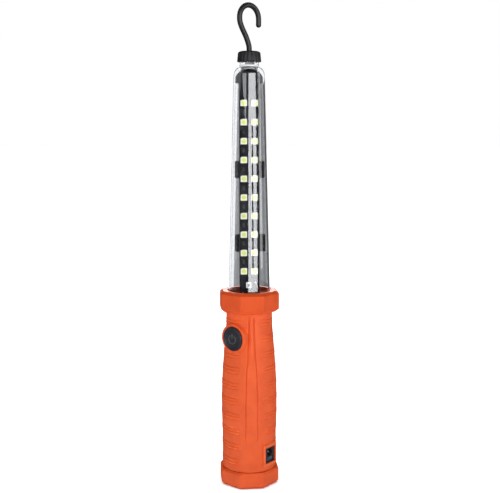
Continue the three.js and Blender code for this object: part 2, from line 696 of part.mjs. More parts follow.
const WIRE_ROUTES = {
  wire_jack_positive: [
    [6.6, -4, 34.4], [4.2, -7.4, 37.5], [1.3, -8.7, 43], [1.3, -8.7, 75], [1.3, -8.7, 106],
    [0.4, -8.3, 112.6], [-1, -6.8, 116.6],
  ],
  wire_jack_negative: [
    [3.6, -6.6, 34.4], [1.2, -8.4, 37.5], [-1.3, -8.7, 43], [-1.3, -8.7, 75], [-1.3, -8.7, 106],
    [-2.2, -8.4, 112.6], [-3.2, -6.6, 115], [-3.4, -4.2, 116.6],
  ],
  wire_cell_positive: [[7.5, -7.6, 110], [7.4, -7.8, 113.6], [4.4, -4.8, 115.4], [1.4, -1.8, 116.5]],
  wire_cell_negative: [[-6.2, -7.6, 110], [-6.4, -7.8, 113.6], [-7.4, -4, 115.4], [-7, -0.6, 116.5]],
  wire_led_positive: [[-2.4, -5.2, 132.6], [-1, -5, 137], [1.4, -3.6, 143], [1.4, -2.6, 149.5]],
  wire_led_negative: [[-5.2, -2.4, 132.6], [-4, -3, 137], [-1.4, -3.2, 143], [-1.4, -2.6, 149.5]],
};

// ---- assembly ----

const light = new THREE.Group();

function add(name, geometry, material, parent = light) {
  const mesh = new THREE.Mesh(geometry, material);
  mesh.name = name;
  mesh.geometry.computeVertexNormals();
  parent.add(mesh);
  return mesh;
}

add("foot_cap", footCap(), ORANGE);
add("foot_screw_front", footScrew(-FOOT_SCREW_OFFSET), STEEL);
add("foot_screw_rear", footScrew(FOOT_SCREW_OFFSET), STEEL);

const shell = gripShell();
add("grip_front", gripHalf(shell, -1), ORANGE);
add("grip_rear", gripHalf(shell, 1), ORANGE);
const screwNames = ["lower_left", "lower_right", "upper_left", "upper_right"];
GRIP_SCREWS.forEach((place, i) => add("grip_screw_" + screwNames[i], gripScrew(...place), STEEL));

add("collar", collarRing(), ORANGE);
const sealHeight = [TUBE_FLANGE_TOP + GAP, COLLAR_LIP_BOTTOM - GAP];
add("tube_seal", ring(TUBE_LOWER_RADIUS + GAP, TUBE_FLANGE_RADIUS, ...sealHeight), RUBBER);
add("lens_tube", lensTube(), CLEAR);
add("led_chassis", ledChassis(), BLACK);
add("led_board", ledBoard(), BOARD_BLACK);

const ledBack = BOARD_FRONT - LED_LIFT;
for (let row = 0; row < LED_ROWS; row += 1) {
  for (const [column, x] of LED_COLUMNS) {
    const led = new THREE.BoxGeometry(LED_SIZE, LED_THICKNESS, LED_SIZE);
    const mesh = add("led_" + column + "_" + String(row + 1).padStart(2, "0"), led, LED_CREAM);
    const z = LED_LOWEST + row * LED_PITCH;
    mesh.position.set(x, ledBack - LED_THICKNESS / 2, z);
  }
}
const connectorDepth = [ledBack - CONNECTOR.depth, ledBack];
add("board_connector", block(CONNECTOR.x, connectorDepth, CONNECTOR.z), WHITE);

add("hook_cap", hookCap(), BLACK);
add("cap_gasket", ring(GASKET.inner, GASKET.outer, GASKET.bottom, GASKET.top, 32), RUBBER);
add("hook", hookWire(), BLACK_WIRE);
const clipBore = HOOK_GROOVE.radius + GAP;
add("hook_clip", ring(clipBore, HOOK_CLIP.outer, HOOK_CLIP.bottom, HOOK_CLIP.top, 24), STEEL);

const buttonSide = new THREE.Group();
buttonSide.rotation.z = radians(BUTTON_TURN);
light.add(buttonSide);
add("button", pushButton(), BLACK, buttonSide);
const plunger = crossBar(PLUNGER.radius, 0, BUTTON_HEIGHT, -PLUNGER.front, -PLUNGER.back);
add("switch_plunger", plunger, WHITE, buttonSide);
add("switch_body", switchBody(), BLACK, buttonSide);
add("control_board", circuitBoard(CONTROL_BOARD), GREEN, buttonSide);

const portSide = new THREE.Group();
portSide.rotation.z = radians(PORT_TURN);
light.add(portSide);
add("port_panel", portPanel(), BLACK, portSide);
add("dc_jack", dcJack(), BLACK, portSide);
const jackPin = crossBar(JACK_PIN.radius, 0, JACK_HEIGHT, -JACK_PIN.front, -JACK_PIN.back);
add("jack_pin", jackPin, STEEL, portSide);
add("charge_indicator", chargeIndicator(), SMOKED, portSide);
add("charge_board", circuitBoard(CHARGE_BOARD), GREEN, portSide);

add("battery_cell_left", batteryCell(-1), CELL_BLUE);
add("battery_cell_right", batteryCell(1), CELL_BLUE);
add("battery_holder", batteryHolder(), BLACK);
const linkWidth = [-CELL_LINK.half, CELL_LINK.half];
add("cell_link", block(linkWidth, CELL_LINK.depth, [CELL_BOTTOM - 2 * GAP, CELL_BOTTOM - GAP]), STEEL);
add("cell_tab_left", cellTab(-1), STEEL);
add("cell_tab_right", cellTab(1), STEEL);
for (const [name, points] of Object.entries(WIRE_ROUTES)) {
  const color = name.endsWith("positive") ? RED : BLACK;
  add(name, wireAlong(points, WIRE_RADIUS, WIRE_STEPS, WIRE_SIDES), color);
}

export default light;
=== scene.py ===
import json
import math

import bmesh
import bpy
from mathutils import Matrix, Vector


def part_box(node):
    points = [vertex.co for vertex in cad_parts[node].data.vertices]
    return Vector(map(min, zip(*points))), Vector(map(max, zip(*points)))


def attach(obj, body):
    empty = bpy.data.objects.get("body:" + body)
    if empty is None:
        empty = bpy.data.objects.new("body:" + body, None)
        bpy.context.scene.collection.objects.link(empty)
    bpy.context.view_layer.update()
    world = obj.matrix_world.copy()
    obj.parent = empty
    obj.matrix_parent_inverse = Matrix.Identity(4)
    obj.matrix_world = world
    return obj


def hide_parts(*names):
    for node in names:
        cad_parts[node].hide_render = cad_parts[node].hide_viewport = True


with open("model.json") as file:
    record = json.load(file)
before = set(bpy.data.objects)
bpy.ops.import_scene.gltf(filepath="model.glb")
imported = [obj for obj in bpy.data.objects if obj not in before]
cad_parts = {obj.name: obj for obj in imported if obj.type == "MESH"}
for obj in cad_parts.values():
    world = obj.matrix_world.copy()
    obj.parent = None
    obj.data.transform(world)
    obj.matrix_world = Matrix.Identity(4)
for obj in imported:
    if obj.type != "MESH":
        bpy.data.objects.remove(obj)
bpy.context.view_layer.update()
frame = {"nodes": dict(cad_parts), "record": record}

# Cordless LED work light. The object's lengths are millimetres in the frame's own axes (+Z up,
# LEDs facing -Y), and piece() turns them into metres. Lamps, cards and floor are in metres.

MM = 0.001


def span(node):
    """A CAD node's lowest and highest corners, in millimetres."""
    low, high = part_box(node)
    return low / MM, high / MM


# ---------------------------------------------------------------- camera, lights, floor

TUBE_AXIS_TURN = 5.5  # degrees that the front is turned away from the camera
CAMERA_DISTANCE = 683.4
CAMERA_HEIGHT = 279.6
CAMERA_PITCH = 7.0
CAMERA_SIDE_STEP = 0.65
CAMERA_LENS = 61.2
SENSOR_WIDTH = 36.0


def make_camera():
    data = bpy.data.cameras.new("camera")
    data.lens = CAMERA_LENS
    data.sensor_width = SENSOR_WIDTH
    data.clip_start = 0.01
    data.clip_end = 100
    camera = bpy.data.objects.new("camera", data)
    turn = math.radians(TUBE_AXIS_TURN)
    camera.location = Vector((-math.sin(turn), -math.cos(turn), 0)) * CAMERA_DISTANCE * MM
    camera.location.z = CAMERA_HEIGHT * MM
    camera.location += Vector((math.cos(turn), -math.sin(turn), 0)) * CAMERA_SIDE_STEP * MM
    camera.rotation_euler = (math.radians(90 - CAMERA_PITCH), 0, -turn)
    bpy.context.scene.collection.objects.link(camera)
    bpy.context.scene.camera = camera


def from_axis(azimuth, elevation=0.0):
    """Unit vector away from the object's axis; azimuth 0 is in front, 90 at the right, 180 behind."""
    turn, rise = math.radians(azimuth), math.radians(elevation)
    return Vector((math.sin(turn) * math.cos(rise), -math.cos(turn) * math.cos(rise), math.sin(rise)))


LAMP_AIM = 0.2  # metres up the object; lamps and cards are placed and sized in metres


def lamp(name, azimuth, elevation, distance, size, power):
    """A big soft lamp aimed at the middle of the light. The cards below make its reflections."""
    data = bpy.data.lights.new(name, "AREA")
    data.shape = "RECTANGLE"
    data.size, data.size_y = size
    data.energy = power
    obj = bpy.data.objects.new(name, data)
    direction = from_axis(azimuth, elevation)
    obj.location = Vector((0, 0, LAMP_AIM)) + direction * distance
    obj.rotation_euler = direction.to_track_quat("Z", "Y").to_euler()
    obj.visible_glossy = False
    obj.visible_transmission = False
    bpy.context.scene.collection.objects.link(obj)


def by_ray(tree, kind, seen, otherwise):
    """A shader that is one thing to a kind of ray and another to the rest."""
    path = tree.nodes.new("ShaderNodeLightPath")
    mix = tree.nodes.new("ShaderNodeMixShader")
    tree.links.new(path.outputs[kind], mix.inputs[0])
    tree.links.new(otherwise.outputs[0], mix.inputs[1])
    tree.links.new(seen.outputs[0], mix.inputs[2])
    return mix


def make_world():
    world = bpy.data.worlds.new("studio")
    bpy.context.scene.world = world
    world.use_nodes = True
    tree = world.node_tree
    tree.nodes.clear()
    output = tree.nodes.new("ShaderNodeOutputWorld")
    backdrop, fill, mirrored = (tree.nodes.new("ShaderNodeBackground") for _ in range(3))
    backdrop.inputs["Color"].default_value = (1, 1, 1, 1)
    fill.inputs["Color"].default_value = (0.95, 0.96, 1, 1)
    fill.inputs["Strength"].default_value = WORLD_FILL
    mirrored.inputs["Color"].default_value = (0.95, 0.96, 1, 1)
    mirrored.inputs["Strength"].default_value = WORLD_MIRRORED
    unseen = by_ray(tree, "Is Diffuse Ray", fill, mirrored)
    tree.links.new(by_ray(tree, "Is Camera Ray", backdrop, unseen).outputs[0], output.inputs["Surface"])


def staged(name, bm, material):
    mesh = bpy.data.meshes.new(name)
    bm.to_mesh(mesh)
    bm.free()
    mesh.materials.append(material)
    obj = bpy.data.objects.new(name, mesh)
    bpy.context.scene.collection.objects.link(obj)
    return obj


def make_floor():
    """A white sweep that is darker to everything but the camera, with a sun of its own."""
    material = bpy.data.materials.new("floor")
    material.use_nodes = True
    tree = material.node_tree
    seen = tree.nodes["Principled BSDF"]
    seen.inputs["Base Color"].default_value = (0.95, 0.95, 0.95, 1)
    seen.inputs["Roughness"].default_value = 0.9
    seen.inputs["Specular IOR Level"].default_value = 0.0
    dim = tree.nodes.new("ShaderNodeBsdfDiffuse")
    dim.inputs["Color"].default_value = (FLOOR_BOUNCE, FLOOR_BOUNCE, FLOOR_BOUNCE, 1)
    shader = by_ray(tree, "Is Camera Ray", seen, dim)
    tree.links.new(shader.outputs[0], tree.nodes["Material Output"].inputs["Surface"])
    bm = bmesh.new()
    bmesh.ops.create_circle(bm, cap_ends=True, segments=96, radius=40)
    floor = staged("floor", bm, material)
    floor.location.z = -0.0002
    floor.visible_glossy = False
    floor.visible_transmission = False
    data = bpy.data.lights.new("floor_sun", "SUN")
    data.energy = FLOOR_SUN
    data.angle = math.radians(100)
    sun = bpy.data.objects.new("floor_sun", data)
    sun.location.z = 3
    bpy.context.scene.collection.objects.link(sun)
    lit = bpy.data.collections.new("floor_only")
    lit.objects.link(floor)
    sun.light_linking.receiver_collection = lit


def light_only(name, azimuth, elevation, distance, size, power, receiver):
    """A lamp that lights one piece and shows in its sheen."""
    lamp(name, azimuth, elevation, distance, size, power)
    obj = bpy.data.objects[name]
    obj.visible_glossy = True
    lit = bpy.data.collections.new(name)
    lit.objects.link(receiver)
    obj.light_linking.receiver_collection = lit


CARD_DISTANCE = 0.5
CARD_STEP = 3.0  # degrees


def card(name, azimuths, heights, radiance, gloss=True, through=True, top_azimuths=None):
    """A curved card on a circle round the object, seen in reflections (gloss) and through the lens."""
    bm = bmesh.new()
    steps = max(2, round((azimuths[1] - azimuths[0]) / CARD_STEP))
    rows = []
    for k in range(steps + 1):
        row = []
        for (start, end), z in zip((azimuths, top_azimuths or azimuths), heights):
            place = from_axis(start + (end - start) * k / steps) * CARD_DISTANCE
            row.append(bm.verts.new((place.x, place.y, z)))
        rows.append(row)
    for left, right in zip(rows, rows[1:]):
        bm.faces.new((left[0], right[0], right[1], left[1]))
    material = bpy.data.materials.new(name)
    material.use_nodes = True
    material.cycles.emission_sampling = "NONE"
    shader = material.node_tree.nodes["Principled BSDF"]
    shader.inputs["Base Color"].default_value = (0, 0, 0, 1)
    shader.inputs["Specular IOR Level"].default_value = 0.0
    shader.inputs["Emission Color"].default_value = (0.97, 0.98, 1, 1)
    shader.inputs["Emission Strength"].default_value = radiance
    obj = staged(name, bm, material)
    obj.visible_camera = False
    obj.visible_diffuse = False
    obj.visible_shadow = False
    obj.visible_glossy = gloss
    obj.visible_transmission = through


WORLD_FILL = 0.12
WORLD_MIRRORED = 0.03
FLOOR_BOUNCE = 0.76
FLOOR_SUN = 3.6
BACKDROP = (-0.1, 0.37)  # heights of the cards seen through the lens

make_camera()
make_world()
make_floor()
lamp("lamp_right", 42, 7, 1.3, (0.9, 1.2), 7.7)
lamp("lamp_left", -52, 7, 1.3, (0.9, 1.2), 7.7)
lamp("lamp_top", 0, 75, 1.2, (0.9, 0.9), 3.0)
lamp("lamp_back", 180, 38, 1.3, (0.8, 0.5), 4.0)
# softbox in front, with a dark upright gap in it
SOFTBOX = 6.0
card("softbox_left", (-10, 12), (0.07, 0.62), SOFTBOX)
card("softbox_right", (21, 43), (0.07, 0.62), SOFTBOX)
card("softbox_top", (12, 21), (0.335, 0.62), SOFTBOX)
card("softbox_bottom", (12, 21), (0.07, 0.13), SOFTBOX)
card("wedge_left", (-32, -28.5), (0.33, 0.4), 2.6, top_azimuths=(-60, -26))
card("wedge_left_top", (-60, -26), (0.4, 0.6), 2.6)
card("strip_right", (62, 77), (0.127, 0.6), 4.2, through=False)
card("strip_right_near", (58, 62), (0.14, 0.6), 2.0, through=False)
card("strip_right_far", (77, 82), (0.14, 0.6), 2.0, through=False)
# what shows through the lens from behind
card("back_top", (75, 285), (0.37, 2.0), 1.2, gloss=False)
card("back_below", (75, 285), (-1.5, -0.1), 0.9, gloss=False)
card("back_middle_left", (174.5, 183.5), BACKDROP, 0.38, gloss=False)
card("back_middle_right", (167.0, 174.5), BACKDROP, 0.3, gloss=False)
card("back_left", (183.5, 215), BACKDROP, 1.35, gloss=False)
card("back_right", (140, 167.0), BACKDROP, 0.2, gloss=False)
card("side_left", (215, 275), BACKDROP, 0.85, gloss=False)
card("side_right", (75, 140), BACKDROP, 0.05, gloss=False)
bpy.context.scene.view_settings.view_transform = "Standard"

# ---------------------------------------------------------------- materials


class Nodes:
    """Short calls for a material's node tree."""

    def __init__(self, name):
        self.material = bpy.data.materials.new(name)
        self.material.use_nodes = True
        self.tree = self.material.node_tree
        self.shader = self.tree.nodes["Principled BSDF"]
        self.output = self.tree.nodes["Material Output"]

    def add(self, kind, **values):
        node = self.tree.nodes.new("ShaderNode" + kind)
        for key, value in values.items():
            if key in node.bl_rna.properties:
                setattr(node, key, value)
            else:
                node.inputs[key.replace("_", " ")].default_value = value
        return node

    def link(self, start, end):
        self.tree.links.new(start, end)

    def set(self, **values):
        for key, value in values.items():
            self.shader.inputs[key.replace("_", " ")].default_value = value

    def place(self):
        return self.add("TexCoord").outputs["Object"]

    def noise(self, scale, detail, roughness=0.5):
        node = self.add("TexNoise", Scale=scale, Detail=detail, Roughness=roughness)
        self.link(self.place(), node.inputs["Vector"])
        return node.outputs["Fac"]

    def spread(self, value, low, high, start=0.0, end=1.0):
        node = self.add("MapRange")
        self.link(value, node.inputs["Value"])
        node.inputs["From Min"].default_value = start
        node.inputs["From Max"].default_value = end
        node.inputs["To Min"].default_value = low
        node.inputs["To Max"].default_value = high
        return node.outputs["Result"]

    def blend(self, factor, first, second):
        node = self.add("Mix", data_type="RGBA")
        self.link(factor, node.inputs["Factor"])
        for socket, value in ((node.inputs[6], first), (node.inputs[7], second)):
            if isinstance(value, tuple):
                socket.default_value = (*value, 1)
            else:
                self.link(value, socket)
        return node.outputs[2]

    def bump(self, height, strength, distance):
        node = self.add("Bump", Strength=strength, Distance=distance)
        self.link(height, node.inputs["Height"])
        return node

    def edges(self, start=0.52, end=0.6):
        """1 on outer edges, where handling rubs a surface and where a highlight is painted."""
        return self.spread(self.add("NewGeometry").outputs["Pointiness"], 0, 1, start, end)


def moulded(name, color, dark, light, roughness, gloss=0.16):
    """Moulded plastic: slight flow mottling, lighter outer edges that are partly rubbed wear and partly a
    painted highlight, and a fine spark-eroded grain.
    """
    n = Nodes(name)
    n.set(IOR=1.5, Specular_IOR_Level=gloss)
    mottle = n.spread(n.noise(90, 4), 0, 1, 0.35, 0.65)
    base = n.blend(mottle, color, dark)
    # painted highlight: outer edges are lightened towards the light colour, partly for rubbed wear and
    # partly as a glint painted on the edges
    rubbed_and_highlit_edges = n.blend(n.edges(), base, light)
    n.link(rubbed_and_highlit_edges, n.shader.inputs["Base Color"])
    sheen = n.spread(n.noise(260, 3), roughness - 0.06, roughness + 0.07)
    n.link(sheen, n.shader.inputs["Roughness"])
    fine = n.bump(n.noise(2600, 2, 0.6), 0.35, 0.00004)
    soft = n.bump(n.noise(150, 2), 0.15, 0.0002)
    n.link(soft.outputs[0], fine.inputs["Normal"])
    n.link(fine.outputs[0], n.shader.inputs["Normal"])
    return n.material


def metal(name, color, roughness):
    """Plated or rolled steel with fine streaks."""
    n = Nodes(name)
    n.set(Metallic=1.0)
    tarnished = tuple(c * 0.82 for c in color)
    n.link(n.blend(n.noise(120, 3), color, tarnished), n.shader.inputs["Base Color"])
    n.link(n.spread(n.noise(900, 2), roughness - 0.08, roughness + 0.1), n.shader.inputs["Roughness"])
    n.link(n.bump(n.noise(900, 2), 0.2, 0.00003).outputs[0], n.shader.inputs["Normal"])
    return n.material


def coated_steel():
    """Black powder coat on wire: semi-gloss with a slight orange peel."""
    n = Nodes("hook_coating")
    n.set(Specular_IOR_Level=0.26)
    coat = n.blend(n.noise(300, 3), (0.011, 0.011, 0.012), (0.02, 0.02, 0.021))
    n.link(coat, n.shader.inputs["Base Color"])
    n.link(n.spread(n.noise(500, 2), 0.28, 0.42), n.shader.inputs["Roughness"])
    n.link(n.bump(n.noise(1400, 2), 0.3, 0.00005).outputs[0], n.shader.inputs["Normal"])
    return n.material


def clear_plastic():
    """Polished clear polycarbonate that lets lamps light what it covers."""
    n = Nodes("clear_lens")
    n.set(Transmission_Weight=1.0, IOR=1.585)
    tint = n.blend(n.noise(40, 2), (0.93, 0.94, 0.95), (0.96, 0.965, 0.97))
    n.link(tint, n.shader.inputs["Base Color"])
    n.link(n.spread(n.noise(700, 3), 0.0, 0.006), n.shader.inputs["Roughness"])
    through = n.add("BsdfTransparent", Color=(0.95, 0.96, 0.97, 1))
    path = n.add("LightPath")
    mix = n.add("MixShader")
    n.link(path.outputs["Is Shadow Ray"], mix.inputs[0])
    n.link(n.shader.outputs[0], mix.inputs[1])
    n.link(through.outputs[0], mix.inputs[2])
    n.link(mix.outputs[0], n.output.inputs["Surface"])
    return n.material


def frosted_plastic():
    """The lens's moulded ring, left frosted by its tool."""
    n = Nodes("frosted_ring")
    n.set(Transmission_Weight=0.05, IOR=1.585)
    haze = n.blend(n.noise(400, 3), (0.86, 0.87, 0.89), (0.93, 0.94, 0.95))
    n.link(haze, n.shader.inputs["Base Color"])
    n.link(n.spread(n.noise(900, 3), 0.25, 0.42), n.shader.inputs["Roughness"])
    n.link(n.bump(n.noise(2200, 2), 0.25, 0.00004).outputs[0], n.shader.inputs["Normal"])
    return n.material


def phosphor():
    """The yellow silicone face of a white LED."""
    n = Nodes("led_phosphor")
    yellow = n.blend(n.noise(3000, 2), (0.76, 0.81, 0.17), (0.83, 0.88, 0.24))
    n.link(yellow, n.shader.inputs["Base Color"])
    n.link(n.spread(n.noise(1500, 2), 0.25, 0.4), n.shader.inputs["Roughness"])
    n.link(n.bump(n.noise(2500, 2), 0.2, 0.00005).outputs[0], n.shader.inputs["Normal"])
    n.set(Subsurface_Weight=0.15, Subsurface_Scale=0.001)
    return n.material


def solder_mask(name, color, light):
    """Printed circuit board: glossy mask with faint copper runs under it."""
    n = Nodes(name)
    n.set(Specular_IOR_Level=0.08)
    place = n.place()
    runs = n.add("TexBrick", Scale=420.0, Mortar_Size=0.035)
    n.link(place, runs.inputs["Vector"])
    lines = n.spread(runs.outputs["Fac"], 0, 0.5)
    n.link(n.blend(lines, color, light), n.shader.inputs["Base Color"])
    n.link(n.spread(n.noise(900, 3), 0.22, 0.38), n.shader.inputs["Roughness"])
    n.link(n.bump(runs.outputs["Fac"], 0.2, 0.00003).outputs[0], n.shader.inputs["Normal"])
    return n.material


def shrink_wrap():
    n = Nodes("cell_wrap")
    blue = n.blend(n.noise(60, 3), (0.03, 0.16, 0.42), (0.04, 0.2, 0.5))
    n.link(blue, n.shader.inputs["Base Color"])
    n.link(n.spread(n.noise(400, 2), 0.25, 0.4), n.shader.inputs["Roughness"])
    n.link(n.bump(n.noise(250, 3), 0.3, 0.0001).outputs[0], n.shader.inputs["Normal"])
    return n.material


# name, colour, darker mottle, lighter edge (rubbed wear and painted highlight), roughness
ORANGE = moulded(
    "orange_plastic", (0.72, 0.088, 0.017), (0.65, 0.075, 0.013), (0.83, 0.15, 0.047), 0.42, gloss=0.2
)
GRIP = moulded(
    "grip_plastic", (0.81, 0.109, 0.021), (0.74, 0.093, 0.017), (0.9, 0.185, 0.06), 0.42, gloss=0.38
)
BLACK = moulded(
    "black_plastic", (0.008, 0.008, 0.009), (0.012, 0.012, 0.013), (0.035, 0.035, 0.038), 0.38
)
BUTTON = moulded(
    "button_rubber", (0.034, 0.033, 0.042), (0.027, 0.026, 0.034), (0.09, 0.08, 0.09), 0.34, gloss=0.3
)
SYMBOL = moulded(
    "button_symbol", (0.066, 0.07, 0.066), (0.055, 0.058, 0.054), (0.12, 0.12, 0.11), 0.3, gloss=0.35
)
CAP = moulded(
    "cap_plastic", (0.009, 0.009, 0.01), (0.013, 0.013, 0.014), (0.035, 0.035, 0.038), 0.4, gloss=0.2
)
PANEL = moulded(
    "panel_plastic", (0.014, 0.013, 0.015), (0.019, 0.018, 0.021), (0.05, 0.045, 0.045), 0.36, gloss=0.24
)
HOOK = coated_steel()
CLEAR = clear_plastic()
FROSTED = frosted_plastic()
BOARD = solder_mask("board_black", (0.005, 0.004, 0.006), (0.014, 0.013, 0.017))
CARRIER = moulded(
    "carrier_plastic", (0.006, 0.006, 0.007), (0.009, 0.009, 0.01), (0.02, 0.02, 0.02), 0.42, gloss=0.08
)
LED_BODY = moulded("led_housing", (0.92, 0.95, 0.62), (0.88, 0.91, 0.57), (0.95, 0.96, 0.8), 0.35)
PHOSPHOR = phosphor()
WHITE = moulded("white_plastic", (0.84, 0.84, 0.82), (0.78, 0.78, 0.75), (0.9, 0.9, 0.9), 0.4)
STEEL = metal("bright_steel", (0.62, 0.63, 0.65), 0.28)
NICKEL = metal("nickel_strip", (0.66, 0.63, 0.58), 0.3)
RUBBER = moulded("rubber", (0.02, 0.02, 0.02), (0.028, 0.028, 0.028), (0.05, 0.05, 0.05), 0.75)
WRAP = shrink_wrap()
GREEN = solder_mask("board_green", (0.012, 0.1, 0.04), (0.03, 0.2, 0.08))
SMOKED = moulded(
    "smoked_plastic", (0.03, 0.045, 0.075), (0.02, 0.03, 0.05), (0.08, 0.1, 0.14), 0.18, gloss=0.4
)
WIRE_RED = moulded("wire_red", (0.45, 0.02, 0.015), (0.38, 0.016, 0.012), (0.55, 0.05, 0.04), 0.45)
WIRE_BLACK = moulded(
    "wire_black", (0.012, 0.012, 0.012), (0.018, 0.018, 0.018), (0.04, 0.04, 0.04), 0.45
)

# ---------------------------------------------------------------- mesh helpers


def fillet(corners, steps=5):
    """Rounds the corners of a closed outline given as (x, y) or (x, y, radius)."""
    result = []
    for i, corner in enumerate(corners):
        here = Vector(corner[:2])
        radius = corner[2] if len(corner) > 2 else 0
        if radius <= 0:
            result.append(here)
            continue
        back = Vector(corners[i - 1][:2]) - here
        ahead = Vector(corners[(i + 1) % len(corners)][:2]) - here
        reach = radius / math.tan(back.angle(ahead) / 2)
        reach = min(reach, 0.49 * back.length, 0.49 * ahead.length)
        start = here + back.normalized() * reach
        end = here + ahead.normalized() * reach
        for k in range(steps + 1):
            t = k / steps
            result.append(start * (1 - t) ** 2 + here * 2 * t * (1 - t) + end * t**2)
    return result


def profile(corners, steps=5):
    """fillet() as (radius, z) pairs for turned() and octagonal()."""
    return [(p.x, p.y) for p in fillet(corners, steps)]


def stack(rings, loop=False, caps=False):
    """Joins closed rings of points, all with one count, into a skin. loop joins the last ring to the
    first, and caps closes both ends with a face."""
    bm = bmesh.new()
    rows = [[bm.verts.new(p) for p in ring] for ring in rings]
    pairs = list(zip(rows, rows[1:]))
    if loop:
        pairs.append((rows[-1], rows[0]))
    count = len(rows[0])
    for low, high in pairs:
        for i in range(count):
            j = (i + 1) % count
            bm.faces.new((low[i], low[j], high[j], high[i]))
    if caps:
        bm.faces.new(rows[0][::-1])
        bm.faces.new(rows[-1])
    return tidy(bm)


def tidy(bm):
    bmesh.ops.remove_doubles(bm, verts=bm.verts, dist=1e-4)
    bmesh.ops.dissolve_degenerate(bm, edges=bm.edges, dist=1e-5)
    bmesh.ops.recalc_face_normals(bm, faces=bm.faces)
    return bm


def polar(radius, angle, z):
    """A point at an angle round from the front (-Y) towards +X."""
    return Vector((radius * math.sin(angle), -radius * math.cos(angle), z))


def turned(outline, segments=96):
    """An outline of (radius, z) turned about Z. It starts and ends on the axis, or is a closed ring."""
    angles = [2 * math.pi * i / segments for i in range(segments)]
    rings = [[polar(max(r, 0), a, z) for a in angles] for r, z in outline]
    on_axis = outline[0][0] <= 1e-6
    return stack(rings, loop=not on_axis)


OCTAGON_SHARPNESS = 70  # higher is a tighter corner
OCTAGON_STEPS = 14  # points along each side


def octagon_angles():
    angles = []
    for side in range(8):
        for k in range(OCTAGON_STEPS):
            t = 2 * k / OCTAGON_STEPS - 1
            angles.append(math.radians(45 * side + 22.5 * math.sin(t * math.pi / 2)))
    return angles


def octagon_radius(apothem, angle):
    """Distance to a rounded octagon whose flats face the object's axes."""
    total = 0.0
    for side in range(8):
        facing = math.cos(angle - math.radians(45 * side))
        if facing > 0:
            total += facing**OCTAGON_SHARPNESS
    return apothem * total ** (-1 / OCTAGON_SHARPNESS)


def octagonal(outline, round_below):
    """As turned(), with an octagonal section wherever the radius is over round_below."""
    angles = octagon_angles()
    rings = []
    for r, z in outline:
        if r > round_below:
            rings.append([polar(octagon_radius(r, a), a, z) for a in angles])
        else:
            rings.append([polar(r, a, z) for a in angles])
    return stack(rings, loop=outline[0][0] > 1e-6)


def placed(bm, tilt, place):
    """A mesh tilted about X by some degrees and then moved."""
    matrix = Matrix.Translation(place) @ Matrix.Rotation(math.radians(tilt), 4, "X")
    bmesh.ops.transform(bm, matrix=matrix, verts=bm.verts)
    return bm


def paint_all(bm, index):
    for f in bm.faces:
        f.material_index = index


def bar_y(radius, x, z, start, end, segments=48, bevel=0.0):
    """A round bar along Y."""
    bm = turned(profile([(0, start), (radius, start, bevel), (radius, end, bevel), (0, end)]), segments)
    # turned() points up Z; lay it down so that Z becomes Y
    return tidy(placed(bm, -90, (x, 0, z)))


def block(x, y, z, bevel=0.0, segments=2):
    """A box between two corners, with its edges rounded."""
    bm = bmesh.new()
    bmesh.ops.create_cube(bm, size=1)
    size = Vector((x[1] - x[0], y[1] - y[0], z[1] - z[0]))
    middle = Vector((x[1] + x[0], y[1] + y[0], z[1] + z[0])) / 2
    bmesh.ops.scale(bm, vec=size, verts=bm.verts)
    bmesh.ops.translate(bm, vec=middle, verts=bm.verts)
    if bevel:
        edges = bm.edges[:]
        bmesh.ops.bevel(bm, geom=edges, offset=bevel, segments=segments, profile=0.5, affect="EDGES")
    return tidy(bm)


def slab(outline, front, back, bevel=0.2):
    """An (x, z) outline made solid between two y values, with its face edges rounded."""
    inner = [Vector(p) for p in outline]
    rings = []
    for y, inset in ((front, bevel), (front + bevel, 0), (back - bevel, 0), (back, bevel)):
        ring = []
        for i, p in enumerate(inner):
            tangent = inner[(i + 1) % len(inner)] - inner[i - 1]
            normal = Vector((tangent.y, -tangent.x)).normalized()
            q = p - normal * inset
            ring.append(Vector((q.x, y, q.y)))
        rings.append(ring)
    return stack(rings, caps=True)


def sweep(points, radius, sides=24, round_ends=(False, False)):
    """A round tube along a list of points, with flat or domed ends."""
    path = [Vector(p) for p in points]
    rings = []
    previous = None
    for i, p in enumerate(path):
        tangent = (path[min(i + 1, len(path) - 1)] - path[max(i - 1, 0)]).normalized()
        if previous is None:
            across = tangent.orthogonal().normalized()
        else:
            across = (previous - tangent * previous.dot(tangent)).normalized()
        previous = across
        other = tangent.cross(across)
        rings.append((p, across, other, tangent))

    def ring(p, across, other, scale):
        turn = [2 * math.pi * k / sides for k in range(sides)]
        return [p + (across * math.cos(a) + other * math.sin(a)) * radius * scale for a in turn]

    result = []
    dome = [math.radians(a) for a in (88, 75, 60, 45, 30, 15)]
    if round_ends[0]:
        p, across, other, tangent = rings[0]
        result += [ring(p - tangent * radius * math.sin(a), across, other, math.cos(a)) for a in dome]
    result += [ring(p, across, other, 1) for p, across, other, _ in rings]
    if round_ends[1]:
        p, across, other, tangent = rings[-1]
        result += [ring(p + tangent * radius * math.sin(a), across, other, math.cos(a)) for a in dome[::-1]]
    return stack(result, caps=True)


def smooth_path(points, per_span=8):
    """A Catmull-Rom line through the points."""
    path = [Vector(p) for p in points]
    ends = [path[0] * 2 - path[1]] + path + [path[-1] * 2 - path[-2]]
    result = []
    for a, b, c, d in zip(ends, ends[1:], ends[2:], ends[3:]):
        for k in range(per_span):
            t = k / per_span
            square = (2 * a - 5 * b + 4 * c - d) * t**2
            cube = (3 * b - a - 3 * c + d) * t**3
            result.append(0.5 * (2 * b + (c - a) * t + square + cube))
    return result + [path[-1]]


def merge(*parts):
    """Several closed meshes in one."""
    whole = bmesh.new()
    for part in parts:
        mesh = bpy.data.meshes.new("part")
        part.to_mesh(mesh)
        part.free()
        whole.from_mesh(mesh)
        bpy.data.meshes.remove(mesh)
    return whole


def to_object(bm, name):
    mesh = bpy.data.meshes.new(name)
    bm.to_mesh(mesh)
    bm.free()
    obj = bpy.data.objects.new(name, mesh)
    bpy.context.scene.collection.objects.link(obj)
    return obj


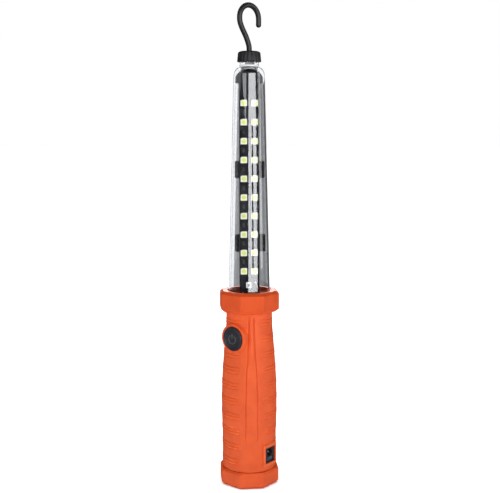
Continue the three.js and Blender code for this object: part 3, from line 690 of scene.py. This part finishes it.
def solid_step(bm, tools, operation):
    """One boolean after another on a mesh: UNION or DIFFERENCE with each tool."""
    obj = to_object(bm, "work")
    for tool_bm in tools:
        tool = to_object(tool_bm, "tool")
        modifier = obj.modifiers.new("boolean", "BOOLEAN")
        modifier.operation = operation
        modifier.solver = "EXACT"
        modifier.object = tool
        shown = obj.evaluated_get(bpy.context.evaluated_depsgraph_get())
        result = bpy.data.meshes.new_from_object(shown)
        obj.modifiers.clear()
        obj.data = result
        bpy.data.objects.remove(tool)
    out = bmesh.new()
    out.from_mesh(obj.data)
    bpy.data.objects.remove(obj)
    return out


def turn_z(bm, degrees):
    matrix = Matrix.Rotation(math.radians(degrees), 3, "Z")
    bmesh.ops.rotate(bm, cent=(0, 0, 0), matrix=matrix, verts=bm.verts)
    return bm


def piece(name, bm, material, replaced=(), body="body", sharp=35, second=None):
    """Makes a finished piece that rides on a body and stands for the replaced CAD nodes."""
    bmesh.ops.scale(bm, vec=(MM, MM, MM), verts=bm.verts)
    obj = to_object(bm, name)
    obj.data.materials.append(material)
    if second:
        obj.data.materials.append(second)
    obj.data.shade_smooth()
    obj.data.set_sharp_from_angle(angle=math.radians(sharp))
    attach(obj, body)
    if replaced:
        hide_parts(*replaced)
    return obj


# ---------------------------------------------------------------- foot and collar

FOOT_SCREW_OFFSET = 12.0
FOOT_POCKET = 17.0  # radius
FOOT_FLOOR = 4.0
SCREW_WELL = 3.0  # radius and depth
SCREW_HOLE = 1.7
COLLAR_BORE = 19.1
COLLAR_MOUTH = 17.3
COLLAR_LIP = 8.0


def make_foot():
    high = span("foot_cap")[1]
    side = high.x
    outline = profile(
        [
            (0, 0),
            (side - 2.0, 0, 0.5),
            (side, 2.0, 0.9),
            (side, high.z - 1.6, 0.8),
            (side - 1.3, high.z, 0.5),
            (FOOT_POCKET, high.z, 0.4),
            (FOOT_POCKET, FOOT_FLOOR, 1.0),
            (0, FOOT_FLOOR),
        ]
    )
    bm = octagonal(outline, FOOT_POCKET + 0.5)
    wells = []
    for y in (-FOOT_SCREW_OFFSET, FOOT_SCREW_OFFSET):
        r, hole, end = SCREW_WELL, SCREW_HOLE, FOOT_FLOOR + 1
        well = turned([(0, -1), (r, -1), (r, r), (hole, r), (hole, end), (0, end)], 32)
        wells.append(placed(well, 0, (0, y, 0)))
    piece("foot", solid_step(bm, wells, "DIFFERENCE"), GRIP, ["foot_cap"])


def make_collar():
    low, high = span("collar")
    side = high.x
    outline = profile(
        [
            (COLLAR_BORE, low.z, 0.3),
            (side - 3.3, low.z, 0.8),
            (side, low.z + 2.6, 1.2),
            (side, high.z - 2.0, 0.9),
            (side - 2.3, high.z, 0.8),
            (COLLAR_MOUTH, high.z, 0.6),
            (COLLAR_MOUTH, high.z - COLLAR_LIP, 0.2),
            (COLLAR_BORE, high.z - COLLAR_LIP, 0.2),
        ]
    )
    bm = octagonal(outline, COLLAR_BORE + 0.1)
    collar = piece("collar_ring", bm, ORANGE, ["collar"])
    light_only("collar_glint", 172, 12, 0.7, (0.5, 0.12), 2.6, collar)


make_foot()
make_collar()

# ---------------------------------------------------------------- grip

GRIP_OUTLINE = [
    (13.5, 22.05), (30, 22.05), (45, 22.2), (58, 22.6), (72, 22.65),
    (87, 22.25), (107, 20.95), (120, 19.85), (134, 18.8), (148.7, 18.8),
]
GRIP_WALL = 2.0
SEAM_HALF = 0.15  # half the seam's width outside
SEAM_LIP = 0.01  # and inside, where the halves meet
GROOVE_GROUPS = 10
GROOVE_GROUP_FIRST = 21.8
GROOVE_GROUP_PITCH = 12.65
GROOVES_IN_GROUP = (-2.4, 0.0, 2.4)
PAD_RISE = 0.22
GROOVE_DEPTH = 0.4
GROOVE_WIDTH = 0.45
GROOVE_START = (24.0, 28.0)  # degrees from the middle where the cross grooves fade in
STRIP_LINE_DEPTH = 0.5
STRIP_LINE_WIDTH = 0.42
STRIP_RISE = 0.5
CREST_RISE = 1.1
STRIP_WIDTHS = [(45, 4.75), (72, 4.7), (97, 4.0), (110, 3.0), (122, 2.4), (135, 2.05)]  # z, half width


def smoothstep(low, high, value):
    t = min(max((value - low) / (high - low), 0), 1)
    return t * t * (3 - 2 * t)


def grip_radius(z):
    """The grip's plain radius, on a smooth line through the outline."""
    for i in range(len(GRIP_OUTLINE) - 1):
        z0, r0 = GRIP_OUTLINE[i]
        z1, r1 = GRIP_OUTLINE[i + 1]
        if z <= z1 or i == len(GRIP_OUTLINE) - 2:
            za, ra = GRIP_OUTLINE[max(i - 1, 0)]
            zb, rb = GRIP_OUTLINE[min(i + 2, len(GRIP_OUTLINE) - 1)]
            slope0 = (r1 - ra) / (z1 - za)
            slope1 = (rb - r0) / (zb - z0)
            t = (z - z0) / (z1 - z0)
            width = z1 - z0
            return (
                (2 * t**3 - 3 * t**2 + 1) * r0
                + (t**3 - 2 * t**2 + t) * slope0 * width
                + (-2 * t**3 + 3 * t**2) * r1
                + (t**3 - t**2) * slope1 * width
            )


def strip_half_width(z):
    if z <= STRIP_WIDTHS[0][0]:
        return STRIP_WIDTHS[0][1]
    for (z0, w0), (z1, w1) in zip(STRIP_WIDTHS, STRIP_WIDTHS[1:]):
        if z <= z1:
            return w0 + (w1 - w0) * (z - z0) / (z1 - z0)
    return STRIP_WIDTHS[-1][1]


def groove_levels():
    return [
        GROOVE_GROUP_FIRST + GROOVE_GROUP_PITCH * k + offset
        for k in range(GROOVE_GROUPS)
        for offset in GROOVES_IN_GROUP
    ]


def grip_surface(angle, z, levels):
    """Radius at an angle from the middle of the half (radians) and a height."""
    radius = grip_radius(z)
    half = strip_half_width(z) / radius
    shown = smoothstep(37, 42, z) * smoothstep(142, 138, z)
    result = radius
    if abs(angle) < half:
        flat = radius * math.cos(half) / math.cos(angle) + STRIP_RISE
        crest = radius + CREST_RISE * (1 - (angle / half) ** 2)
        above = smoothstep(96, 114, z)
        result += (flat * (1 - above) + crest * above - radius) * shown
    line = (abs(angle) - half) * radius / STRIP_LINE_WIDTH
    result -= STRIP_LINE_DEPTH * math.exp(-line * line) * shown
    start, end = (math.radians(a) for a in GROOVE_START)
    side = smoothstep(start, end, abs(angle))
    if side > 0:
        near = min(levels, key=lambda level: abs(level - z))
        depth = math.exp(-(((z - near) / GROOVE_WIDTH) ** 2))
        group = (z - GROOVE_GROUP_FIRST) / GROOVE_GROUP_PITCH
        offset = abs(group - round(group)) * GROOVE_GROUP_PITCH
        inside = smoothstep(GROOVES_IN_GROUP[-1] + 0.3, GROOVES_IN_GROUP[-1] - 0.1, offset)
        result += (PAD_RISE * inside - GROOVE_DEPTH * depth) * side
    return result


def grip_rows(levels):
    bottom, top = GRIP_OUTLINE[0][0], GRIP_OUTLINE[-1][0]
    rows = {bottom, bottom + 0.3, top - 0.3, top}
    for level in levels:
        rows.update(level + step for step in (-1.1, -0.75, -0.5, -0.25, 0, 0.25, 0.5, 0.75, 1.1))
    count = 90
    for k in range(count + 1):
        z = bottom + (top - bottom) * k / count
        if min(abs(z - row) for row in rows) > 0.5:
            rows.add(z)
    return sorted(z for z in rows if bottom <= z <= top)


def grip_columns(z):
    """Angles from the middle of the half to its seam, dense along the strip's edge lines."""
    radius = grip_radius(z)
    half = strip_half_width(z) / radius
    fine = STRIP_LINE_WIDTH * 2.2 / radius
    edge = math.asin(SEAM_HALF / radius)
    start, end = (math.radians(a) for a in GROOVE_START)
    knots = [(0.0, 5), (half - fine, 8), (half + fine, 6), (start, 5), (end, 22), (math.pi / 2 - edge, 0)]
    angles = []
    for (low, steps), (high, _) in zip(knots, knots[1:]):
        angles += [low + (high - low) * k / steps for k in range(steps)]
    return angles + [knots[-1][0]]


def grip_half(facing):
    """One clamshell half as a stack of C-shaped rings; facing is 0 for the front, 180 for the rear."""
    levels = groove_levels()
    centre = math.radians(facing)
    inner_count = 20
    rings = []
    rows = grip_rows(levels)
    for z in rows:
        right = grip_columns(z)
        angles = [-a for a in right[:0:-1]] + right
        pinch = 0.3 if z in (rows[0], rows[-1]) else 0.0
        ring = [polar(grip_surface(a, z, levels) - pinch, centre + a, z) for a in angles]
        inside = grip_radius(z) - GRIP_WALL
        last = math.pi / 2 - math.asin(SEAM_LIP / inside)
        for k in range(inner_count + 1):
            ring.append(polar(inside, centre + last * (1 - 2 * k / inner_count), z))
        rings.append(ring)
    return stack(rings, caps=True)


BUTTON_TURN = -45.0
BUTTON_HEIGHT = 123.0
BUTTON_HOLE = 9.8
BOSS_RADIUS = 12.0
BOSS_FACE = 20.7
BOSS_DEPTH = 6.4
PORT_TURN = 45.0
PORT_FACE = 22.6
PORT_FRAME_HALF = 8.1
PORT_FRAME_HEIGHT = (17.0, 35.6)
PORT_SEAT_BACK = -19.3
OUTSIDE = -30  # y past the outside of the grip, for cutting tools


def button_boss():
    """The raised ring round the button, facing -Y before it is turned."""
    hole, outside, depth = BUTTON_HOLE, BOSS_RADIUS, BOSS_DEPTH
    bm = turned(profile([(hole, 0), (hole, depth, 0.5), (outside, depth, 0.7), (outside, 0)]))
    bm = placed(bm, 90, (0, depth - BOSS_FACE, BUTTON_HEIGHT))
    return turn_z(tidy(bm), BUTTON_TURN)


def rounded_rectangle(x, z, radius, steps=6):
    corners = ((x[0], z[0]), (x[1], z[0]), (x[1], z[1]), (x[0], z[1]))
    return fillet([(*corner, radius) for corner in corners], steps)


def make_grip():
    front = grip_half(0)
    frame_outline = rounded_rectangle((-PORT_FRAME_HALF, PORT_FRAME_HALF), PORT_FRAME_HEIGHT, 1.2)
    frame_block = slab(frame_outline, -PORT_FACE, -18, 0.6)
    turn_z(frame_block, PORT_TURN)
    front = solid_step(front, [frame_block, button_boss()], "UNION")
    hole = turn_z(bar_y(BUTTON_HOLE, 0, BUTTON_HEIGHT, OUTSIDE, -12, 96), BUTTON_TURN)
    seat = slab(rounded_rectangle((-6.2, 6.2), (19.5, 32.6), 0.5), OUTSIDE, PORT_SEAT_BACK, 0.01)
    window = block((-5.2, 5.2), (-25, -15), (21.4, 32.0))
    tools = [hole, turn_z(seat, PORT_TURN), turn_z(window, PORT_TURN)]
    front = solid_step(front, tools, "DIFFERENCE")
    piece("grip_shell_front", front, GRIP, ["grip_front"])

    rear = grip_half(180)
    wells = []
    for screw in ("lower_left", "lower_right", "upper_left", "upper_right"):
        low, high = span("grip_screw_" + screw)
        x, z = (low.x + high.x) / 2, (low.z + high.z) / 2
        wells.append(bar_y(high.x - x + 0.3, x, z, high.y - 2.5, 30, 32))
        wells.append(bar_y(SCREW_HOLE, x, z, 5, 30, 24))
    rear = solid_step(rear, wells, "DIFFERENCE")
    piece("grip_shell_rear", rear, GRIP, ["grip_rear"])


make_grip()

# ---------------------------------------------------------------- lens tube

TUBE_WALL = 1.2
TUBE_FLANGE = 2.0  # height
TUBE_LOWER = 17.04  # radius above the flange
TUBE_UPPER = 12.4  # radius under the shoulder
TUBE_SHOULDER = (330.6, 338.2)
TUBE_NECK = 7.4
TUBE_NECK_BORE = 5.6
TUBE_STEPS = 12
# the frosted ring round the neck: radius, z
TUBE_RING = [
    (7.4, 338.4), (7.5, 338.5), (7.7, 338.7), (7.78, 339.2), (7.7, 339.7), (7.5, 339.9), (7.4, 340.0),
]


def quarter(from_radius, to_radius, bottom, top):
    """The shoulder's elliptical quarter, from the wall up to the neck."""
    points = []
    for k in range(TUBE_STEPS + 1):
        a = math.pi / 2 * k / TUBE_STEPS
        radius = to_radius + (from_radius - to_radius) * math.cos(a)
        points.append((radius, bottom + (top - bottom) * math.sin(a)))
    return points


def tapered(inset, bottom, fractions):
    """Points up the tapered wall, at fractions of the way to the shoulder."""
    rise = TUBE_SHOULDER[0] - bottom
    return [(TUBE_LOWER - inset + (TUBE_UPPER - TUBE_LOWER) * t, bottom + rise * t) for t in fractions]


def make_tube():
    low, high = span("lens_tube")
    flange = high.x
    flange_top = low.z + TUBE_FLANGE
    shoulder_bottom, shoulder_top = TUBE_SHOULDER
    fractions = [k / TUBE_STEPS for k in range(1, TUBE_STEPS)]
    outer = [(flange, low.z), (flange, flange_top), (TUBE_LOWER, flange_top)]
    outer += tapered(0, flange_top, fractions)
    outer += quarter(TUBE_UPPER, TUBE_NECK, shoulder_bottom, shoulder_top)
    outer += TUBE_RING + [(TUBE_NECK, high.z)]
    inner = [(TUBE_NECK_BORE, high.z), (TUBE_NECK_BORE, shoulder_top)]
    crown = (shoulder_bottom, shoulder_top - TUBE_WALL)
    inner += quarter(TUBE_UPPER - TUBE_WALL, TUBE_NECK_BORE + TUBE_WALL, *crown)[::-1]
    inner += tapered(TUBE_WALL, low.z, [1 - t for t in fractions])
    inner += [(TUBE_LOWER - TUBE_WALL, low.z)]
    bm = turned(outer + inner, 144)
    for f in bm.faces:
        middle = f.calc_center_median()
        if TUBE_RING[0][1] < middle.z < TUBE_RING[-1][1] and middle.xy.length > TUBE_NECK + 0.02:
            f.material_index = 1
    piece("tube_shell", bm, CLEAR, ["lens_tube"], sharp=50, second=FROSTED)


make_tube()

# ---------------------------------------------------------------- LED strip


# side tabs of the LED carrier: bottom, top, reach to the left and to the right
CARRIER_TABS = [(191.6, 205.8, 11.6, 13.2), (251.0, 264.7, 11.6, 12.5)]
RIB_DEPTH = (0.8, 4.6)
CROSS_RIBS = 6


def make_chassis():
    low, high = span("led_chassis")
    board_low, board_high = span("led_board")
    half = board_high.x

    def wing(bottom, top, reach):
        lower = [(half, bottom - 0.6, 0.6), (half, bottom, 0.5), (reach, bottom, 1.3)]
        return lower + [(reach, top, 1.3), (half, top, 0.5), (half, top + 0.6, 0.6)]

    def edge(side):
        line = [(half, low.z + 1.0)]
        for bottom, top, *reach in CARRIER_TABS:
            line += wing(bottom, top, reach[side])
        line += [(half, 325.1, 0.5), (half, 325.7, 0.5), (11.1, 325.7, 0.6)]
        line += [(11.0, 330.6, 0.9), (8.8, 334.0, 1.0)]
        return line + [(6.4, 334.4, 0.4), (6.4, high.z - 0.3, 0.3)]

    left = [(-p[0], *p[1:]) for p in reversed(edge(0))]
    back_plate = slab(fillet(edge(1) + left, 4), -1.0, 1.0, 0.15)
    parts = [back_plate]
    for side in (-1, 1):
        x = sorted((side * 5.2, side * 6.6))
        parts.append(block(x, RIB_DEPTH, (low.z + 1, high.z - 1.6), 0.25))
    for k in range(1, CROSS_RIBS + 1):
        z = board_low.z + k * (board_high.z - board_low.z) / (CROSS_RIBS + 1)
        parts.append(block((-5.7, 5.7), RIB_DEPTH, (z - 0.7, z + 0.7), 0.2))
    foot = profile([(0, low.z), (14.9, low.z, 0.4), (14.9, low.z + 2, 0.4), (0, low.z + 2)], 3)
    parts.append(turned(foot, 96))
    plate_bottom = high.z - 1.6
    plate = [(0, plate_bottom), (6.6, plate_bottom, 0.3), (6.6, high.z, 0.5), (0, high.z)]
    parts.append(turned(profile(plate, 3), 64))
    piece("led_carrier", merge(*parts), CARRIER, ["led_chassis"])


def make_board():
    low, high = span("led_board")
    outline = rounded_rectangle((low.x, high.x), (low.z, high.z), 0.6, 3)
    piece("led_strip_board", slab(outline, low.y, high.y, 0.08), BOARD, ["led_board"])


LED_NOTCH = 0.9
LED_CUP_DEPTH = 0.45
# the silicone face, as shares of the package's size
LED_DOME = [(0, 0), (0.31, 0), (0.32, 0.15), (0.29, 0.24), (0.22, 0.29), (0.12, 0.33), (0, 0.34)]
LED_LEAD_PITCH = 1.6


def make_led(name):
    """A surface-mount LED: bevelled housing, cut corner, round cup and solder ends."""
    low, high = span(name)
    size = high.x - low.x
    x0, x1, z0, z1 = low.x, high.x, low.z, high.z
    corners = [(x0, z0, 0.25), (x1, z0, 0.25), (x1, z1, 0.25)]
    corners += [(x0 + LED_NOTCH, z1, 0.05), (x0, z1 - LED_NOTCH, 0.05)]
    housing = slab(fillet(corners, 3), low.y, high.y, 0.18)
    middle = Vector(((x0 + x1) / 2, (z0 + z1) / 2))
    cup = [(0, 0), (0.36 * size, 0), (0.31 * size, LED_CUP_DEPTH), (0, LED_CUP_DEPTH)]
    cup = placed(turned(cup, 40), -90, (middle.x, low.y - 0.01, middle.y))
    housing = solid_step(housing, [tidy(cup)], "DIFFERENCE")
    face = turned([(r * size, height) for r, height in LED_DOME], 40)
    face = placed(face, 90, (middle.x, low.y + LED_CUP_DEPTH, middle.y))
    paint_all(tidy(face), 1)
    ends = []
    for side in (-1, 1):
        for k in (-1, 0, 1):
            x = middle.x + side * (size / 2 - 0.02)
            z = middle.y + k * LED_LEAD_PITCH
            ends.append(block((x - 0.12, x + 0.12), (high.y - 0.5, high.y), (z - 0.45, z + 0.45), 0.03, 1))
    for end in ends:
        paint_all(end, 2)
    whole = merge(housing, face, *ends)
    obj = piece(name + "_package", whole, LED_BODY, [name], second=PHOSPHOR)
    obj.data.materials.append(STEEL)


POCKET_DEPTH = 2.0
PIN_OFFSET = 0.75


def make_connector():
    low, high = span("board_connector")
    body = block((low.x, high.x), (low.y, high.y), (low.z, high.z), 0.25)
    floor = low.y + POCKET_DEPTH
    pocket = block((low.x + 1.2, high.x - 0.8), (low.y - 1, floor), (low.z + 1.0, high.z - 1.0))
    body = solid_step(body, [pocket], "DIFFERENCE")
    middle = (low.x + high.x) / 2
    pins = []
    across = (middle - 0.25, middle + 0.25)
    for offset in (-PIN_OFFSET, PIN_OFFSET):
        z = (low.z + high.z) / 2 + offset
        pins.append(block(across, (low.y + 0.5, high.y - 0.3), (z - 0.25, z + 0.25), 0.05))
    # painted shade: the pins take black plastic instead of metal, standing for the shade down in the pocket
    for pin in pins:
        paint_all(pin, 1)
    # painted shade: the pocket's floor takes black plastic, standing for the shade down in the pocket
    for f in body.faces:
        if abs(f.calc_center_median().y - floor) < 0.1:
            f.material_index = 1
    whole = merge(body, *pins)
    piece("strip_connector", whole, WHITE, ["board_connector"], second=BLACK)


LED_ROWS = 10


def make_board_parts():
    """Chip resistors between the LEDs and two test pads at the strip's foot."""
    low = span("led_board")[0]
    parts = []
    for row in range(1, LED_ROWS):
        for column in ("left", "right"):
            lower = span(f"led_{column}_{row:02d}")
            upper = span(f"led_{column}_{row + 1:02d}")
            x = (lower[0].x + lower[1].x) / 2
            z = (lower[1].z + upper[0].z) / 2
            depth = (low.y - 0.55, low.y - 0.02)
            chip = block((x - 0.8, x + 0.8), depth, (z - 1.6, z + 1.6), 0.08, 1)
            parts.append(chip)
    piece("strip_resistors", merge(*parts), BLACK)
    pad_depth = (low.y - 0.12, low.y - 0.02)
    pads = [
        block((4.4, 5.6), pad_depth, (166.0, 167.0), 0.03, 1),
        block((-5.6, -4.6), pad_depth, (158.0, 159.0), 0.03, 1),
    ]
    piece("strip_pads", merge(*pads), STEEL)


make_chassis()
make_board()
make_board_parts()
make_connector()
for node in sorted(frame["nodes"]):
    if node.startswith("led_left") or node.startswith("led_right"):
        make_led(node)

# ---------------------------------------------------------------- cap and hook

CAP_RIBS = 20
CAP_RIB_STEPS = 10
CAP_RIB_PROUD = 0.42
CAP_SKIRT = 7.8
CAP_BORE = 2.3
CAP_ROOF = 1.9  # thickness


def make_cap():
    low, high = span("hook_cap")
    count = CAP_RIBS * CAP_RIB_STEPS
    ceiling = high.z - CAP_ROOF

    def rib(k):
        phase = (k % CAP_RIB_STEPS) / CAP_RIB_STEPS
        return CAP_RIB_PROUD * smoothstep(0.34, 0.14, abs(phase - 0.5))

    outside = [(9.15, low.z, 0.35), (8.55, high.z - 0.6, 0.9), (7.0, high.z, 0.8)]
    inside = [(CAP_BORE, high.z, 0.15), (CAP_BORE, ceiling, 0.1), (CAP_SKIRT, ceiling, 0.4)]
    outline = fillet([(CAP_SKIRT, low.z, 0.2), *outside, *inside])
    rings = []
    for p in outline:
        ring = []
        for k in range(count):
            side = smoothstep(8.1, 8.6, p.x) * smoothstep(high.z - 0.6, high.z - 1.5, p.y)
            ring.append(polar(p.x + rib(k) * side, 2 * math.pi * k / count, p.y))
        rings.append(ring)
    piece("cap_shell", stack(rings, loop=True), CAP, ["hook_cap"], sharp=50)


HOOK_WIRE_RADIUS = 2.1
HOOK_BEND_RADIUS = 9.9
HOOK_BEND_HEIGHT = 376.2
HOOK_PLANE_TURN = 36.0
HOOK_TIP = 369.6
HOOK_BIGHT_STEP = 22.5  # degrees
# the leg above the stem's lower end: distance from the axis in the hook's plane, and z
HOOK_LEG = [(0, 348), (0, 352.5), (-0.7, 356), (-3.3, 361.6), (-7, 367.4), (-9.3, 372)]


def make_hook():
    low = span("hook")[0]
    turn = math.radians(HOOK_PLANE_TURN)

    def in_plane(u, z):
        return Vector((u * math.cos(turn), u * math.sin(turn), z))

    points = [in_plane(0, low.z), *(in_plane(u, z) for u, z in HOOK_LEG)]
    for k in range(round(180 / HOOK_BIGHT_STEP) + 1):
        a = math.radians(180 - HOOK_BIGHT_STEP * k)
        rise = HOOK_BEND_RADIUS * math.sin(a)
        points.append(in_plane(HOOK_BEND_RADIUS * math.cos(a), HOOK_BEND_HEIGHT + rise))
    points.append(in_plane(HOOK_BEND_RADIUS, HOOK_TIP + HOOK_WIRE_RADIUS))
    bm = sweep(smooth_path(points, 10), HOOK_WIRE_RADIUS, 28, (False, True))
    piece("hook_wire", bm, HOOK, ["hook"], body="hook", sharp=50)


make_cap()
make_hook()

# ---------------------------------------------------------------- button and port


BUTTON_FACE = 21.9
BUTTON_BACK = 12.8
BUTTON_FLANGE = (10.6, 14.0)  # radius, front
BUTTON_RADIUS = 9.5
SYMBOL_RADIUS = 3.5
SYMBOL_LINE = 0.42


def make_button():
    face = BUTTON_FACE
    flange, flange_front = BUTTON_FLANGE
    outline = [(0, BUTTON_BACK), (flange, BUTTON_BACK, 0.2), (flange, flange_front, 0.2)]
    outline += [(BUTTON_RADIUS, flange_front, 0.1), (BUTTON_RADIUS, face, 0.7), (8.1, face, 0.4)]
    outline += [(7.6, face - 0.55, 0.4), (0, face - 0.35)]
    bm = placed(turned(profile(outline)), 90, (0, 0, BUTTON_HEIGHT))
    floor = SYMBOL_LINE - face
    arc = []
    for degrees in range(35, 326, 6):
        a = math.radians(degrees)
        z = BUTTON_HEIGHT - 0.3 + SYMBOL_RADIUS * math.cos(a)
        arc.append(Vector((SYMBOL_RADIUS * math.sin(a), floor, z)))
    bar = [Vector((0, floor, BUTTON_HEIGHT + z)) for z in (0.6, 1.6, 2.6, 3.9)]
    symbol = [sweep(line, SYMBOL_LINE, 12, (True, True)) for line in (arc, bar)]
    for line in symbol:
        paint_all(line, 1)
    whole = turn_z(merge(tidy(bm), *symbol), BUTTON_TURN)
    piece("button_cap", whole, BUTTON, ["button"], body="button", second=SYMBOL)


JACK_HEIGHT = 28
PIPE_HEIGHT = 23


def make_port():
    plate = slab(rounded_rectangle((-6.0, 6.0), (19.7, 32.4), 0.4), -21.6, -19.6, 0.2)
    jack_hole = bar_y(3.1, 0, JACK_HEIGHT, OUTSIDE, -10, 48)
    pane_hole = block((-3.8, 3.8), (OUTSIDE, -10), (20.6, 24.4))
    plate = solid_step(plate, [jack_hole, pane_hole], "DIFFERENCE")
    piece("port_plate", turn_z(plate, PORT_TURN), PANEL, ["port_panel"])

    body = block((-4.5, 4.5), (PORT_SEAT_BACK, -8.5), (24.8, 31.2), 0.3)
    body = solid_step(body, [bar_y(2.8, 0, JACK_HEIGHT, -25, -10, 48)], "DIFFERENCE")
    piece("jack_body", turn_z(body, PORT_TURN), BLACK, ["dc_jack"])
    pin = bar_y(1.0, 0, JACK_HEIGHT, -20.8, -10.3, 24, 0.35)
    piece("jack_centre_pin", turn_z(pin, PORT_TURN), STEEL, ["jack_pin"])
    pane = slab(rounded_rectangle((-3.5, 3.5), (20.9, 24.1), 0.4), -21.5, -20.1, 0.12)
    pipe = bar_y(1.0, 0, PIPE_HEIGHT, -20.4, -9, 24, 0.3)
    pane = turn_z(solid_step(pane, [pipe], "UNION"), PORT_TURN)
    piece("charge_light_pane", pane, SMOKED, ["charge_indicator"])


THREAD_ROOT = 1.05
THREAD_CREST = 1.4
THREAD_PITCH = 0.8
GRIP_SCREW_HEAD = 2.2
FOOT_SCREW_HEAD = 2.1


def screw(head_radius, head_height, length):
    """A pan-head thread-forming screw along Z: the head's top at 0, the tip at -length."""
    under = -head_height
    outline = profile([(0, 0), (head_radius, 0, 1.1), (head_radius, under, 0.15), (1.2, under)], 6)
    z = under - 0.4
    while z > 1.6 - length:
        outline += [(THREAD_ROOT, z), (THREAD_CREST, z - 0.25), (THREAD_CREST, z - 0.35)]
        outline.append((THREAD_ROOT, z - 0.6))
        z -= THREAD_PITCH
    outline += [(0.9, 0.8 - length), (0.35, -length), (0, -length)]
    bm = turned(outline, 32)
    blades = []
    for across in (0, 1):
        reach, half = 1.6, 0.35
        x, y = ((-reach, reach), (-half, half)) if across else ((-half, half), (-reach, reach))
        blades.append(block(x, y, (-1.1, 1), 0.08))
    return solid_step(bm, blades, "DIFFERENCE")


def make_screws():
    for name in sorted(node for node in frame["nodes"] if "_screw_" in node):
        low, high = span(name)
        middle = (low + high) / 2
        if name.startswith("grip"):
            bm = screw((high.x - low.x) / 2, GRIP_SCREW_HEAD, high.y - low.y)
            placed(bm, -90, (middle.x, high.y, middle.z))
        else:
            bm = screw((high.x - low.x) / 2, FOOT_SCREW_HEAD, high.z - low.z)
            placed(bm, 180, (middle.x, middle.y, low.z))
        piece(name.replace("screw", "fastener"), bm, STEEL, [name])


make_button()
make_port()
make_screws()

# ---------------------------------------------------------------- inner pieces keep their CAD shape

CAD_MATERIALS = {
    "bright_steel": STEEL,
    "nickel_strip": NICKEL,
    "rubber": RUBBER,
    "white_plastic": WHITE,
    "black_plastic": BLACK,
    "board_green": GREEN,
    "cell_wrap": WRAP,
    "wire_red": WIRE_RED,
    "wire_black": WIRE_BLACK,
}
for part in frame["record"]["subparts"]:
    obj = frame["nodes"][part["node"]]
    if not obj.hide_render:
        material = CAD_MATERIALS[part["material_slot"]]
        obj.data.materials.clear()
        obj.data.materials.append(material)
